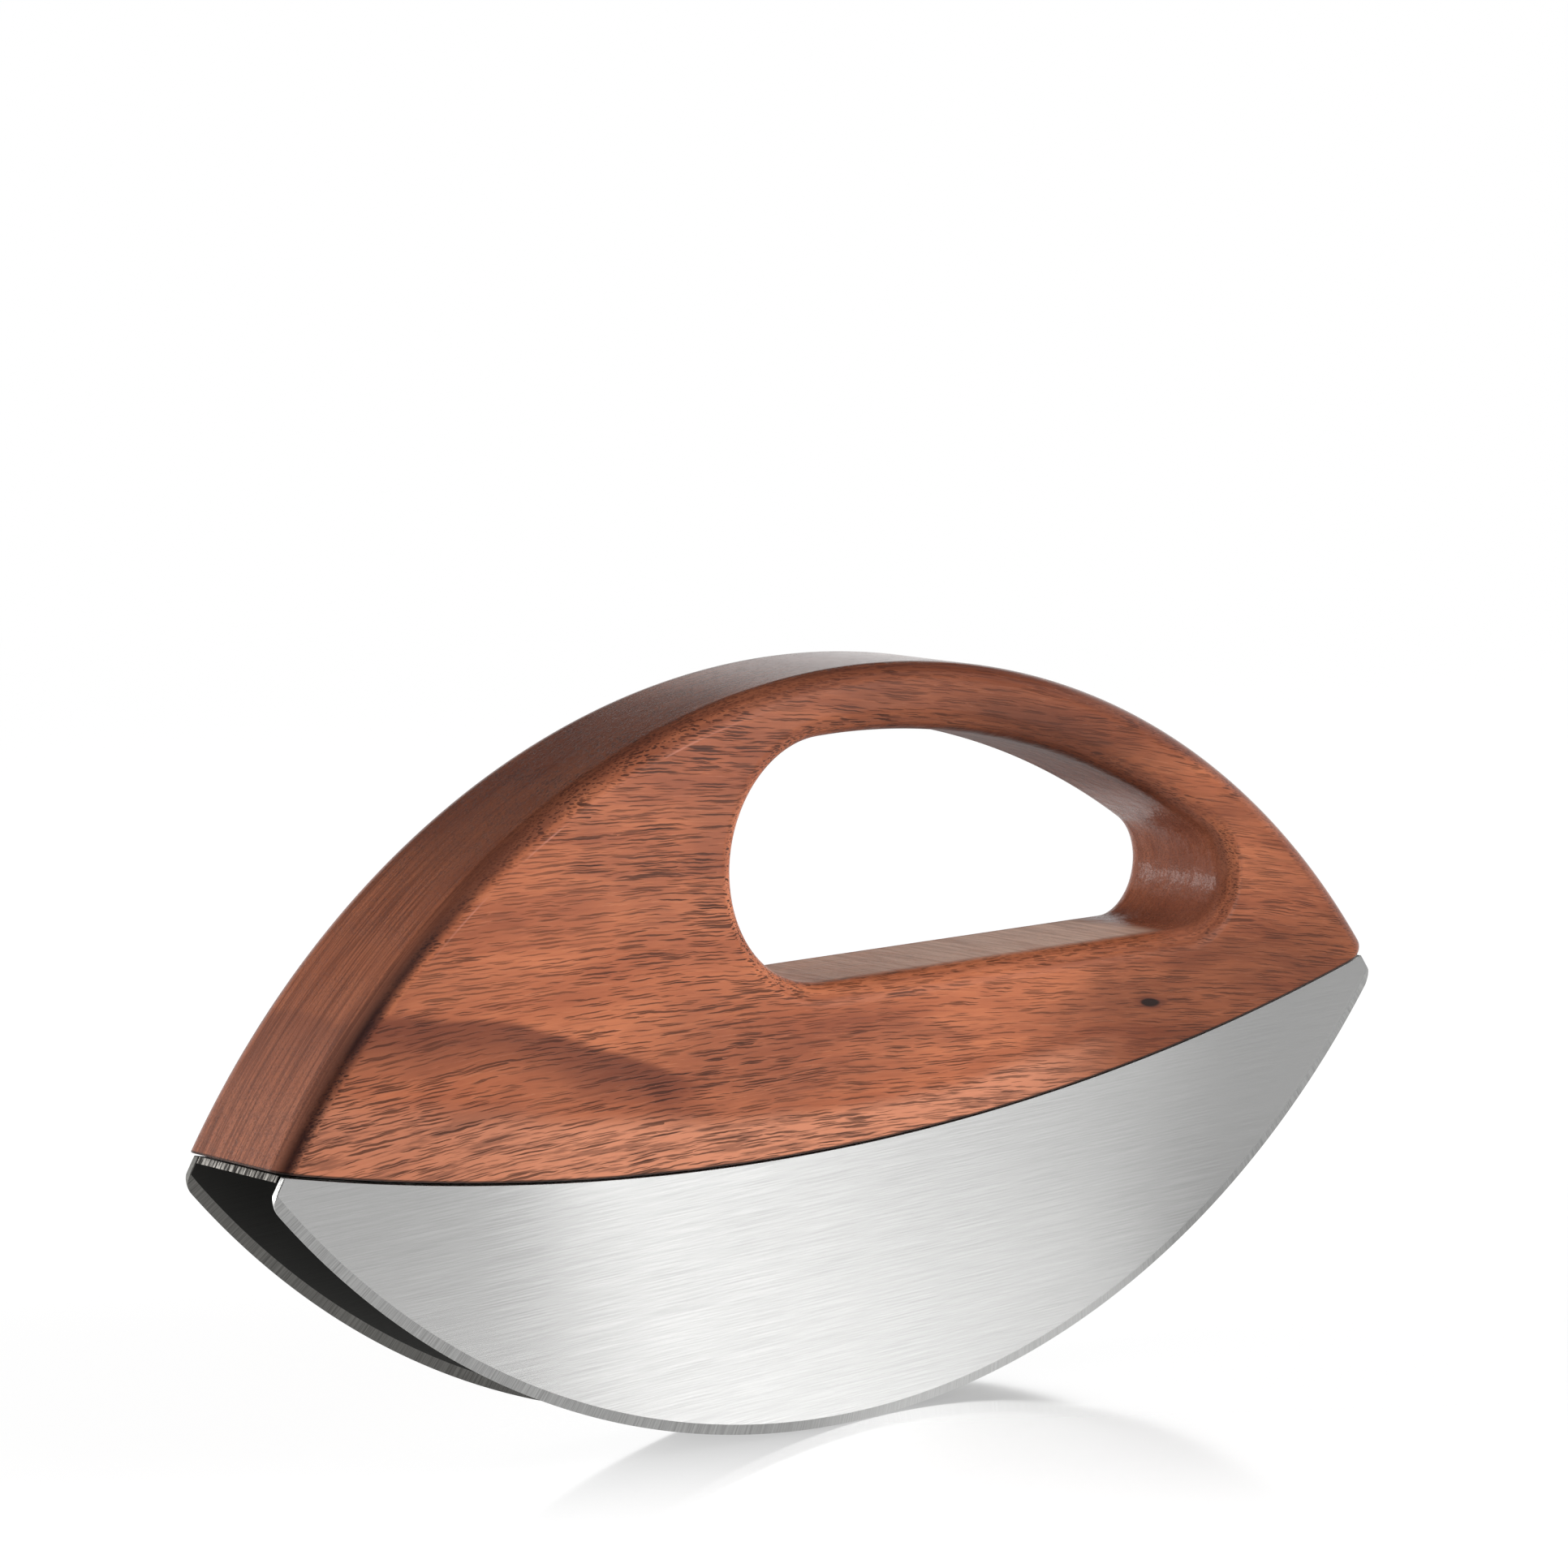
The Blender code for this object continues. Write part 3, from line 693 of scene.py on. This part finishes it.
def wood_places(graph, x, y, z, border_sway):
    """Distances and masks that tell where on the handle a point lies."""
    aside = graph.math("ABSOLUTE", y)
    from_rim_centre = graph.away(x, graph.minus(z, RIM_CENTRE[1]))
    from_seam_centre = graph.away(x, graph.minus(z, SEAM_CENTRE[1]))
    depth = graph.minus(aside, HANDLE_THICKNESS / 2 - RIM_ROUNDOVER)
    outward = graph.minus(from_rim_centre, RIM_RADIUS - RIM_ROUNDOVER)
    seam_height = graph.minus(SEAM_RADIUS, from_seam_centre)
    inside = graph.times(graph.range(aside, *INSIDE_ASIDE), graph.range(from_rim_centre, *INSIDE_RADIUS))
    band_share = graph.over(graph.plus(seam_height, border_sway), graph.range(x, *LOW_BAND_HEIGHT))
    return SimpleNamespace(
        aside=aside, outward=outward, seam_height=seam_height, inside=inside,
        rounded=graph.over(graph.math("MINIMUM", depth, outward), RIM_ROUNDOVER),
        on_rim=graph.range(outward, *ON_RIM),
        low_band=graph.times(graph.range(band_share, *LOW_BAND_TOP), graph.range(x, *LOW_BAND_END)),
        low_floor=graph.times(inside, graph.range(z, *LOW_FLOOR_HEIGHT), graph.range(x, *LOW_FLOOR_END)))


def figure_and_shade_colour(graph, places, x, y, z, w, fibre, border_sway):
    """The colour of the plain wood, from coarse to fine, of its dark and light figures, and painted shade in
    the arch and at the right.
    """
    colour = graph.mix(graph.range(graph.noise(x, y, w, BROAD), *BROAD_FADE), WOOD_DARK, WOOD_LIGHT)
    for noise, fade, tint in ((graph.noise(x, y, w, BANDS), BAND_FADE, BAND_COLOUR),
                              (graph.noise(x, y, w, LAYERS), LAYER_FADE, LAYER_COLOUR),
                              (fibre, DARK_FIBRE_FADE, DARK_FIBRE_COLOUR),
                              (fibre, LIGHT_FIBRE_FADE, LIGHT_FIBRE_COLOUR)):
        colour = graph.mix(graph.range(noise, *fade), colour, tint)
    figure = dark_figure(graph, x, graph.plus(z, border_sway))
    colour = graph.mix(graph.times(figure, DARK_FIGURE_SHARE), colour, DARK_FIGURE_COLOUR)
    light_band = graph.times(places.low_band, graph.range(x, *LOW_BAND_SHARE))
    colour = graph.mix(light_band, colour, LOW_BAND_COLOUR)
    grey_lines = graph.times(graph.range(graph.noise(x, y, w, GREY_LINES), *GREY_LINE_FADE), places.low_band)
    colour = graph.mix(graph.times(grey_lines, GREY_LINE_SHARE), colour, GREY_LINE_COLOUR)

    # Painted shade in the arch and at the right
    arch, right_low = (graph.times(graph.range(x, *across), graph.range(z, *upwards))
                       for across, upwards in (ARCH_SHADE, RIGHT_LOW_SHADE))
    right_end = graph.times(graph.range(x, *RIGHT_END_SHADE), RIGHT_END_SHADE_SHARE)
    arch_foot = graph.times(streak(graph, x, z, **ARCH_FOOT_SHADE), ARCH_FOOT_SHADE_SHARE)
    for mask in (graph.strongest(arch, right_low, right_end), arch_foot):
        colour = graph.mix(mask, colour, PAINTED_SHADE, "MULTIPLY")
    return colour


def all_pores(graph, places, x, y, z, w):
    """Many small pores everywhere, and larger darker ones in places."""
    wobble = graph.minus(graph.noise(x, y, z, WOBBLE), NOISE_MIDDLE)
    w_of_pores = graph.plus(w, graph.times(wobble, PORE_SWAY))
    short, long, large = (pore_marks(graph, x, y, w_of_pores, pores)
                          for pores in (SHORT_PORES, LONG_PORES, LARGE_PORES))
    clusters = graph.range(graph.noise(x, y, w, CLUSTERS), *CLUSTER_FADE)
    small = graph.times(graph.strongest(short, long), clusters)
    top_zone, ring_zone = streak(graph, x, z, **TOP_ZONE), streak(graph, x, z, **RING_ZONE)
    dense = graph.strongest(places.low_band, top_zone, ring_zone)
    large = graph.times(large, graph.range(dense, *LARGE_PORE_SHARE))
    marks = graph.strongest(graph.times(small, SMALL_PORE_SHARE), large)
    return graph.times(marks, graph.range(x, *PORES_TO_THE_RIGHT))


def rim_and_edge_colour(graph, places, x, y, z, colour):
    """The colour on the rim and on the roundings, over the colour of the wood below, with painted light low
    on the rim and painted shade on the roundings.
    """
    # The rounded edge at the left end is darkened, partly as by a cutter that ran hot and partly with painted
    # shade where it faces away from the lamps
    burnt_and_shade = graph.times(graph.range(places.rounded, *BURNT_AND_SHADE_DEPTH), graph.range(x, *BURNT_AND_SHADE_PLACE))
    scorch_and_shade = graph.times(graph.range(graph.noise(x, y, z, SCORCH_AND_SHADE), *SCORCH_AND_SHADE_FADE), BURNT_AND_SHADE_SHARE)
    colour = graph.mix(graph.times(burnt_and_shade, scorch_and_shade), colour, BURNT_AND_SHADE_COLOUR)

    rim_lines = graph.noise(x, y, z, RIM_LINES)
    # Painted light: the rim is lighter low at the left, where it faces the light
    colour = graph.mix(graph.times(places.on_rim, graph.range(x, *PAINTED_LIGHT_RIM_SHARE)), colour, PAINTED_LIGHT_RIM_COLOUR)
    rim_grain = graph.times(places.on_rim, graph.range(rim_lines, *RIM_LINE_FADE))
    colour = graph.mix(rim_grain, colour, RIM_LINE_COLOUR)
    dark_rim = graph.times(graph.range(x, *DARK_RIM_START), graph.range(x, *DARK_RIM_END), places.on_rim,
                           graph.range(rim_lines, *DARK_RIM_LINE_FADE))
    colour = graph.mix(dark_rim, colour, DARK_RIM_COLOUR)
    # The roundings are darkened, partly in the wood's own colour and partly with painted shade
    edges = graph.times(graph.range(places.rounded, *EDGE_SHADE_DEPTH), graph.range(x, *EDGE_SHADE_SHARE))
    return graph.mix(edges, colour, EDGE_SHADE_COLOUR)


def opening_colour(graph, places, x, y, z, colour):
    """The colour inside the opening: walls with painted shade, a right end with painted light and a pale
    floor with lines across, partly painted sheen.
    """
    # Painted shade on the opening's walls
    walls = graph.times(graph.minus(places.inside, places.low_floor), WALL_SHADE_SHARE)
    colour = graph.mix(walls, colour, WALL_SHADE_COLOUR)
    # Painted light on the opening's right end
    end_wall_light = graph.times(places.inside, graph.range(x, *END_WALL_LIGHT_SHARE))
    colour = graph.mix(end_wall_light, colour, END_WALL_LIGHT_COLOUR)
    # A pale floor with lines across, partly the wood's own colour and partly painted sheen
    across = graph.range(graph.noise(x, y, z, CROSS_LINES), *CROSS_LINE_FADE)
    paler = graph.times(graph.range(places.aside, *LOW_FLOOR_ASIDE), graph.range(x, *LOW_FLOOR_GROWTH))
    return graph.mix(graph.times(places.low_floor, graph.times(across, paler)), colour, PALE_FLOOR_AND_SHEEN_COLOUR)


def crest_highlight_and_seam_colour(graph, places, x, y, z, colour):
    """A thin painted highlight on the crest where the face ends, and a dark line of shadow and polish residue
    at the seam.
    """
    # Painted highlight along the crest, broken up by noise
    crest = graph.times(graph.range(places.outward, *CREST_INNER), graph.range(places.outward, *CREST_OUTER),
                        graph.range(places.aside, *CREST_ASIDE),
                        graph.times(graph.range(x, *CREST_START), graph.range(x, *CREST_END)))
    broken = graph.range(graph.noise(x, y, z, CREST_BREAKS), *CREST_BREAK_FADE)
    colour = graph.mix(graph.times(crest, broken), colour, CREST_HIGHLIGHT_COLOUR)
    seam_line = graph.times(graph.range(places.seam_height, *SEAM_LINE_FADE), SEAM_LINE_SHARE)
    return graph.mix(seam_line, colour, SEAM_LINE_COLOUR)


def wood_material():
    graph = Graph("reddish_brown_wood_grain")
    x, y, z = graph.position()
    # w is a height that stays the same along a line of the grain
    fan = graph.times(graph.minus(z, GRAIN_LEVEL), GRAIN_FAN)
    fall = graph.plus(graph.plus(fan, graph.times(x, GRAIN_BEND)), GRAIN_FALL)
    sway = graph.minus(graph.noise(x, y, z, SWAY), NOISE_MIDDLE)
    w = graph.plus(graph.plus(z, graph.times(x, fall)), graph.times(sway, GRAIN_SWAY))
    border_sway = graph.times(sway, FIGURE_SWAY)
    places = wood_places(graph, x, y, z, border_sway)
    fibre = graph.noise(x, y, w, FIBRE)

    colour = figure_and_shade_colour(graph, places, x, y, z, w, fibre, border_sway)
    marks = all_pores(graph, places, x, y, z, w)
    colour = graph.mix(marks, colour, PORE_COLOUR)
    halo = graph.times(streak(graph, x, w, **KNOT_HALO), KNOT_HALO_SHARE)
    colour = graph.mix(halo, colour, KNOT_HALO_COLOUR)
    colour = graph.mix(graph.range(streak(graph, x, w, **KNOT), *KNOT_FADE), colour, KNOT_COLOUR)
    for painted in (rim_and_edge_colour, opening_colour, crest_highlight_and_seam_colour):
        colour = painted(graph, places, x, y, z, colour)

    roof = graph.times(places.inside, graph.range(z, *DULL_ROOF_HEIGHT))
    dull = graph.times(graph.strongest(roof, places.low_floor), DULL_WALL_ROUGHNESS)
    roughness = graph.plus(graph.range(fibre, *WOOD_ROUGHNESS, smooth=False), dull)
    roughness = graph.minus(roughness, graph.times(places.on_rim, graph.range(x, *RIM_GLARE)))
    mottled = graph.times(graph.noise(x, y, z, MOTTLE), places.inside, MOTTLE_RELIEF)
    relief = graph.plus(graph.minus(graph.times(fibre, FIBRE_RELIEF), marks), mottled)
    graph.bump(relief, *WOOD_BUMP)
    return graph.finish(Base_Color=colour, Roughness=roughness, Specular_IOR_Level=WOOD_SPECULAR)


def dimmed(colour, share):
    return tuple(share * level for level in colour[:3]) + (1.0,)


def brushed_steel_material(name, colour, roughness, bump):
    """Steel brushed along X, with fine lines that also bend its reflections a little, and painted shade that
    darkens the upper part.
    """
    graph = Graph(name)
    x, y, z = graph.position()
    fine = graph.noise(x, y, z, FINE_BRUSH)
    coarse = graph.noise(x, y, z, COARSE_BRUSH)
    lines = graph.plus(graph.times(fine, FINE_BRUSH_SHARE), graph.times(coarse, COARSE_BRUSH_SHARE))
    tone = graph.mix(graph.range(lines, *BRUSH_FADE), dimmed(colour, BRUSH_DARKENING), colour)
    # Painted shade: the upper part of the blade is darkened
    tone = graph.mix(graph.range(z, *UPPER_SHADE_HEIGHTS), tone, UPPER_SHADE_TINT, "MULTIPLY")
    uneven_roughness = graph.range(lines, *LINE_FADE, roughness - BRUSH_ROUGHNESS_SPREAD,
                                   roughness + BRUSH_ROUGHNESS_SPREAD)
    tangent = graph.add("ShaderNodeTangent")
    tangent.direction_type = "UV_MAP"
    tangent.uv_map = "along_blade"
    graph.bump(fine, *bump)
    return graph.finish(Base_Color=tone, Metallic=1.0, Roughness=uneven_roughness, Anisotropic=1.0,
                        Anisotropic_Rotation=BRUSH_ROTATION, Tangent=tangent.outputs[0])


def ground_steel_material():
    """The slopes at the cutting edge, with grinding lines across the edge, a painted highlight on the outer
    slopes in the middle and painted shade on the slopes between the blades.
    """
    graph = Graph("ground_edge_steel")
    x, y, z = graph.position()
    turn = graph.math("ARCTAN2", x, graph.minus(z, CUTTING_CENTRE[1]))
    lines = graph.noise(graph.times(turn, CUTTING_RADIUS), y, z, GRINDING)
    outer, shaded_inner, bright = (graph.mix(graph.range(lines, *LINE_FADE), dark, light)
                            for dark, light in (GROUND_OUTER, GROUND_SHADED_INNER, GROUND_HIGHLIGHT))
    # Painted highlight on the outer slopes in the middle
    in_highlight = graph.times(graph.range(x, *GROUND_HIGHLIGHT_START), graph.range(x, *GROUND_HIGHLIGHT_END))
    # Painted shade on the slopes between the blades
    inside = graph.math("LESS_THAN", graph.math("ABSOLUTE", y), (BLADE_SPREAD - BLADE_THICKNESS) / 2)
    colour = graph.mix(inside, graph.mix(in_highlight, outer, bright), shaded_inner)
    graph.bump(lines, *GROUND_BUMP)
    return graph.finish(Base_Color=colour, Metallic=1.0, Roughness=GROUND_ROUGHNESS)


def plain_steel_material(name, colour, pattern):
    """Steel without a direction, duller at the back blade's left end."""
    graph = Graph(name)
    x, y, z = graph.position()
    lines = graph.noise(x, y, z, pattern)
    tone = graph.mix(graph.range(lines, *LINE_FADE), dimmed(colour, PLAIN_DARKENING), colour)
    dull = graph.times(graph.range(y, *DULL_END_ASIDE), graph.range(x, *DULL_END_PLACE))
    roughness = graph.range(lines, *LINE_FADE, PLAIN_ROUGHNESS - PLAIN_ROUGHNESS_SPREAD,
                            PLAIN_ROUGHNESS + PLAIN_ROUGHNESS_SPREAD)
    roughness = graph.plus(roughness, graph.times(dull, DULL_END_ROUGHNESS))
    graph.bump(lines, *PLAIN_BUMP)
    return graph.finish(Base_Color=graph.mix(dull, tone, DULL_END_COLOUR), Metallic=1.0, Roughness=roughness)


def plate_steel_material():
    """Rolled sheet with upright shearing lines, which show at its ends."""
    graph = Graph("sheared_plate_steel")
    x, y, z = graph.position()
    # Y and Z change places, so that the lines stand upright
    lines = graph.noise(x, z, y, SHEARING)
    graph.bump(lines, *PLATE_BUMP)
    return graph.finish(Base_Color=graph.mix(graph.range(lines, *PLATE_FADE), *PLATE_STEEL), Metallic=1.0,
                        Roughness=graph.range(lines, *PLATE_ROUGHNESS))


# Stage

def seen_directly(tree):
    """1 for camera, glossy and transmission rays, 0 for the rest."""
    path = tree.nodes.new("ShaderNodeLightPath")
    either = path.outputs["Is Camera Ray"]
    for name in ("Is Glossy Ray", "Is Transmission Ray"):
        largest = tree.nodes.new("ShaderNodeMath")
        largest.operation = "MAXIMUM"
        tree.links.new(either, largest.inputs[0])
        tree.links.new(path.outputs[name], largest.inputs[1])
        either = largest.outputs[0]
    return either


def floor_material():
    graph = Graph("pale_floor")
    graph.finish(Base_Color=FLOOR_COLOUR, Roughness=FLOOR_ROUGHNESS)
    x, y, _ = graph.position()
    distance = graph.away(x, y)
    # White as seen directly: all of it far away, and near the knife all but a part that takes shadows
    white = graph.add("ShaderNodeEmission", Color=WHITE, Strength=1.0)
    nearly_white = graph.add("ShaderNodeEmission", Color=WHITE, Strength=SHADOW_FLOOR_GLOW)
    shaded = graph.add("ShaderNodeBsdfDiffuse", Color=SHADOW_FLOOR_COLOUR)
    with_shadow = graph.feed_in_order("ShaderNodeAddShader", nearly_white.outputs[0], shaded.outputs[0])
    seen = graph.mix_shaders(graph.range(distance, *SHADOW_FLOOR_END), with_shadow, white)
    plain = graph.mix_shaders(seen_directly(graph.tree), graph.shader, seen)
    # A faint mirror image that fades with the distance in front of the knife
    forward = graph.plus(graph.times(x, REFLECTION_FORWARD[0]), graph.times(y, REFLECTION_FORWARD[1]))
    fade = graph.math("POWER", graph.range(forward, *REFLECTION_FADE, smooth=False), REFLECTION_FADE_POWER)
    near = graph.range(distance, *REFLECTION_REACH)
    in_front = graph.times(graph.range(y, *REFLECTION_BACK), REFLECTION_STRENGTH)
    gloss = graph.add("ShaderNodeBsdfGlossy", Color=WHITE, Roughness=REFLECTION_ROUGHNESS)
    mirrored = graph.mix_shaders(graph.times(graph.times(fade, near), in_front), plain, gloss)
    graph.feed(graph.output.inputs["Surface"], mirrored.outputs[0])
    return graph.material


def rectangle(name, left, right, low, high, upright_at=None):
    """A flat mesh between these limits: lying at Z = 0, or upright at a given Y."""
    corners = ((left, low), (right, low), (right, high), (left, high))
    mesh = bpy.data.meshes.new(name)
    mesh.from_pydata([(a, b, 0.0) if upright_at is None else (a, upright_at, b) for a, b in corners],
                     [], [(0, 1, 2, 3)])
    return mesh


def make_floor():
    mesh = rectangle("floor", -FLOOR_HALF_SIZE, FLOOR_HALF_SIZE, -FLOOR_HALF_SIZE, FLOOR_HALF_SIZE)
    mesh.materials.append(floor_material())
    floor = bpy.data.objects.new("floor", mesh)
    bpy.context.scene.collection.objects.link(floor)
    floor.location.z = -FLOOR_DROP


def make_world():
    world = bpy.data.worlds.new("white_room")
    bpy.context.scene.world = world
    world.use_nodes = True
    tree = world.node_tree
    background = tree.nodes["Background"]
    background.inputs["Color"].default_value = WHITE
    level = tree.nodes.new("ShaderNodeMapRange")
    tree.links.new(seen_directly(tree), level.inputs["Value"])
    level.inputs["To Min"].default_value = AMBIENT_LEVEL
    level.inputs["To Max"].default_value = 1.0
    tree.links.new(level.outputs[0], background.inputs["Strength"])


def stand_card(name, mesh, material):
    """A card of the stage, which lights and is mirrored but isn't in the picture itself."""
    mesh.materials.append(material)
    card = bpy.data.objects.new(name, mesh)
    bpy.context.scene.collection.objects.link(card)
    card.visible_camera = False
    return card


def make_bright_card():
    """A lit card at the right in front, darker at both ends, which the front blade mirrors."""
    graph = Graph("bright_card")
    x, _, z = graph.position()
    level = graph.times(graph.range(x, *CARD_LEVEL, smooth=False),
                        graph.range(z, *CARD_LEVEL_UPWARDS, smooth=False))
    rise = graph.range(x, CARD_BRIGHT_LEFT - CARD_FADE, CARD_BRIGHT_LEFT + CARD_FADE)
    drop = graph.range(x, CARD_BRIGHT_RIGHT - CARD_FADE, CARD_BRIGHT_RIGHT + CARD_FADE, 1.0, CARD_RIGHT_SHARE)
    level = graph.plus(graph.times(rise, graph.minus(level, CARD_LEFT_LEVEL)), CARD_LEFT_LEVEL)
    glow = graph.add("ShaderNodeEmission", Strength=graph.times(level, drop))
    graph.feed(graph.output.inputs["Surface"], glow.outputs[0])
    mesh = rectangle("bright_card", CARD_LEFT, CARD_RIGHT, 0.0, CARD_HEIGHT, upright_at=CARD_Y)
    card = stand_card("bright_card", mesh, graph.material)
    card.visible_shadow = False
    card.visible_diffuse = False


def aim(thing, place, target):
    thing.location = place
    thing.rotation_mode = "QUATERNION"
    thing.rotation_quaternion = (Vector(target) - Vector(place)).to_track_quat("-Z", "Y")


def make_flag(name, place, target, width, height):
    """A dark card that keeps light and reflections away from one side."""
    material = Graph(name).finish(Base_Color=FLAG_COLOUR, Roughness=FLAG_ROUGHNESS)
    mesh = rectangle(name, -width / 2, width / 2, -height / 2, height / 2)
    aim(stand_card(name, mesh, material), place, target)


def make_softbox(name, place, target, width, height, power):
    data = bpy.data.lights.new(name, "AREA")
    data.shape = "RECTANGLE"
    data.size, data.size_y = width, height
    data.energy = power
    lamp = bpy.data.objects.new(name, data)
    bpy.context.scene.collection.objects.link(lamp)
    aim(lamp, place, target)
    lamp.visible_camera = False
    return lamp


def make_camera():
    data = bpy.data.cameras.new("camera")
    data.sensor_fit = "AUTO"
    data.sensor_width = SENSOR_WIDTH
    data.lens = FOCAL_LENGTH
    data.clip_start, data.clip_end = CAMERA_CLIP
    camera = bpy.data.objects.new("camera", data)
    bpy.context.scene.collection.objects.link(camera)
    back = Vector((math.sin(CAMERA_AZIMUTH) * math.cos(CAMERA_ELEVATION),
                   -math.cos(CAMERA_AZIMUTH) * math.cos(CAMERA_ELEVATION),
                   math.sin(CAMERA_ELEVATION)))
    right = Vector((math.cos(CAMERA_AZIMUTH), math.sin(CAMERA_AZIMUTH), 0.0))
    up = back.cross(right)
    turned_right = math.cos(CAMERA_ROLL) * right + math.sin(CAMERA_ROLL) * up
    turned_up = back.cross(turned_right)
    axes = Matrix((turned_right, turned_up, back)).transposed()
    camera.matrix_world = Matrix.Translation(CAMERA_TARGET + CAMERA_DISTANCE * back) @ axes.to_4x4()
    bpy.context.scene.camera = camera


def dress_knife():
    wood = wood_material()
    steel = brushed_steel_material("brushed_blade_steel_lines", BLADE_STEEL, BLADE_ROUGHNESS, BLADE_BUMP)
    shaded_inner = brushed_steel_material("shaded_inner_blade_steel", SHADED_INNER_STEEL, INNER_ROUGHNESS, INNER_BUMP)
    ground = ground_steel_material()
    cut_edge = plain_steel_material("cut_sheet_edge", CUT_STEEL, CUT_GRAIN)
    plate = plate_steel_material()
    screw = plain_steel_material("turned_screw_steel", SCREW_STEEL, TURNED_GRAIN)

    handle = new_piece("wooden_handle", handle_mesh(), [wood], WOOD_SHARP_ANGLE)
    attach(handle, "root")
    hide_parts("handle")
    for name, node, side in (("front_blade_sheet", "front_blade", -1), ("back_blade_sheet", "back_blade", 1)):
        blade = new_piece(name, blade_mesh(name, side), [steel, ground, cut_edge, shaded_inner], BLADE_SHARP_ANGLE)
        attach(blade, "root")
        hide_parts(node)
    for node, material in (("bridge_plate", plate), ("handle_screw_1", screw), ("handle_screw_2", screw),
                           ("handle_screw_3", screw), ("handle_screw_4", screw)):
        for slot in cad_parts[node].material_slots:
            slot.material = material


def set_stage():
    make_camera()
    make_floor()
    make_world()
    make_bright_card()
    make_flag("camera_side_flag", *CAMERA_SIDE_FLAG)
    make_flag("ceiling_flag", *CEILING_FLAG)
    key = make_softbox("key", *KEY_LAMP)
    key.visible_glossy = False
    make_softbox("left_fill", *LEFT_FILL)
    bpy.context.scene.view_settings.view_transform = "Standard"


dress_knife()
set_stage()
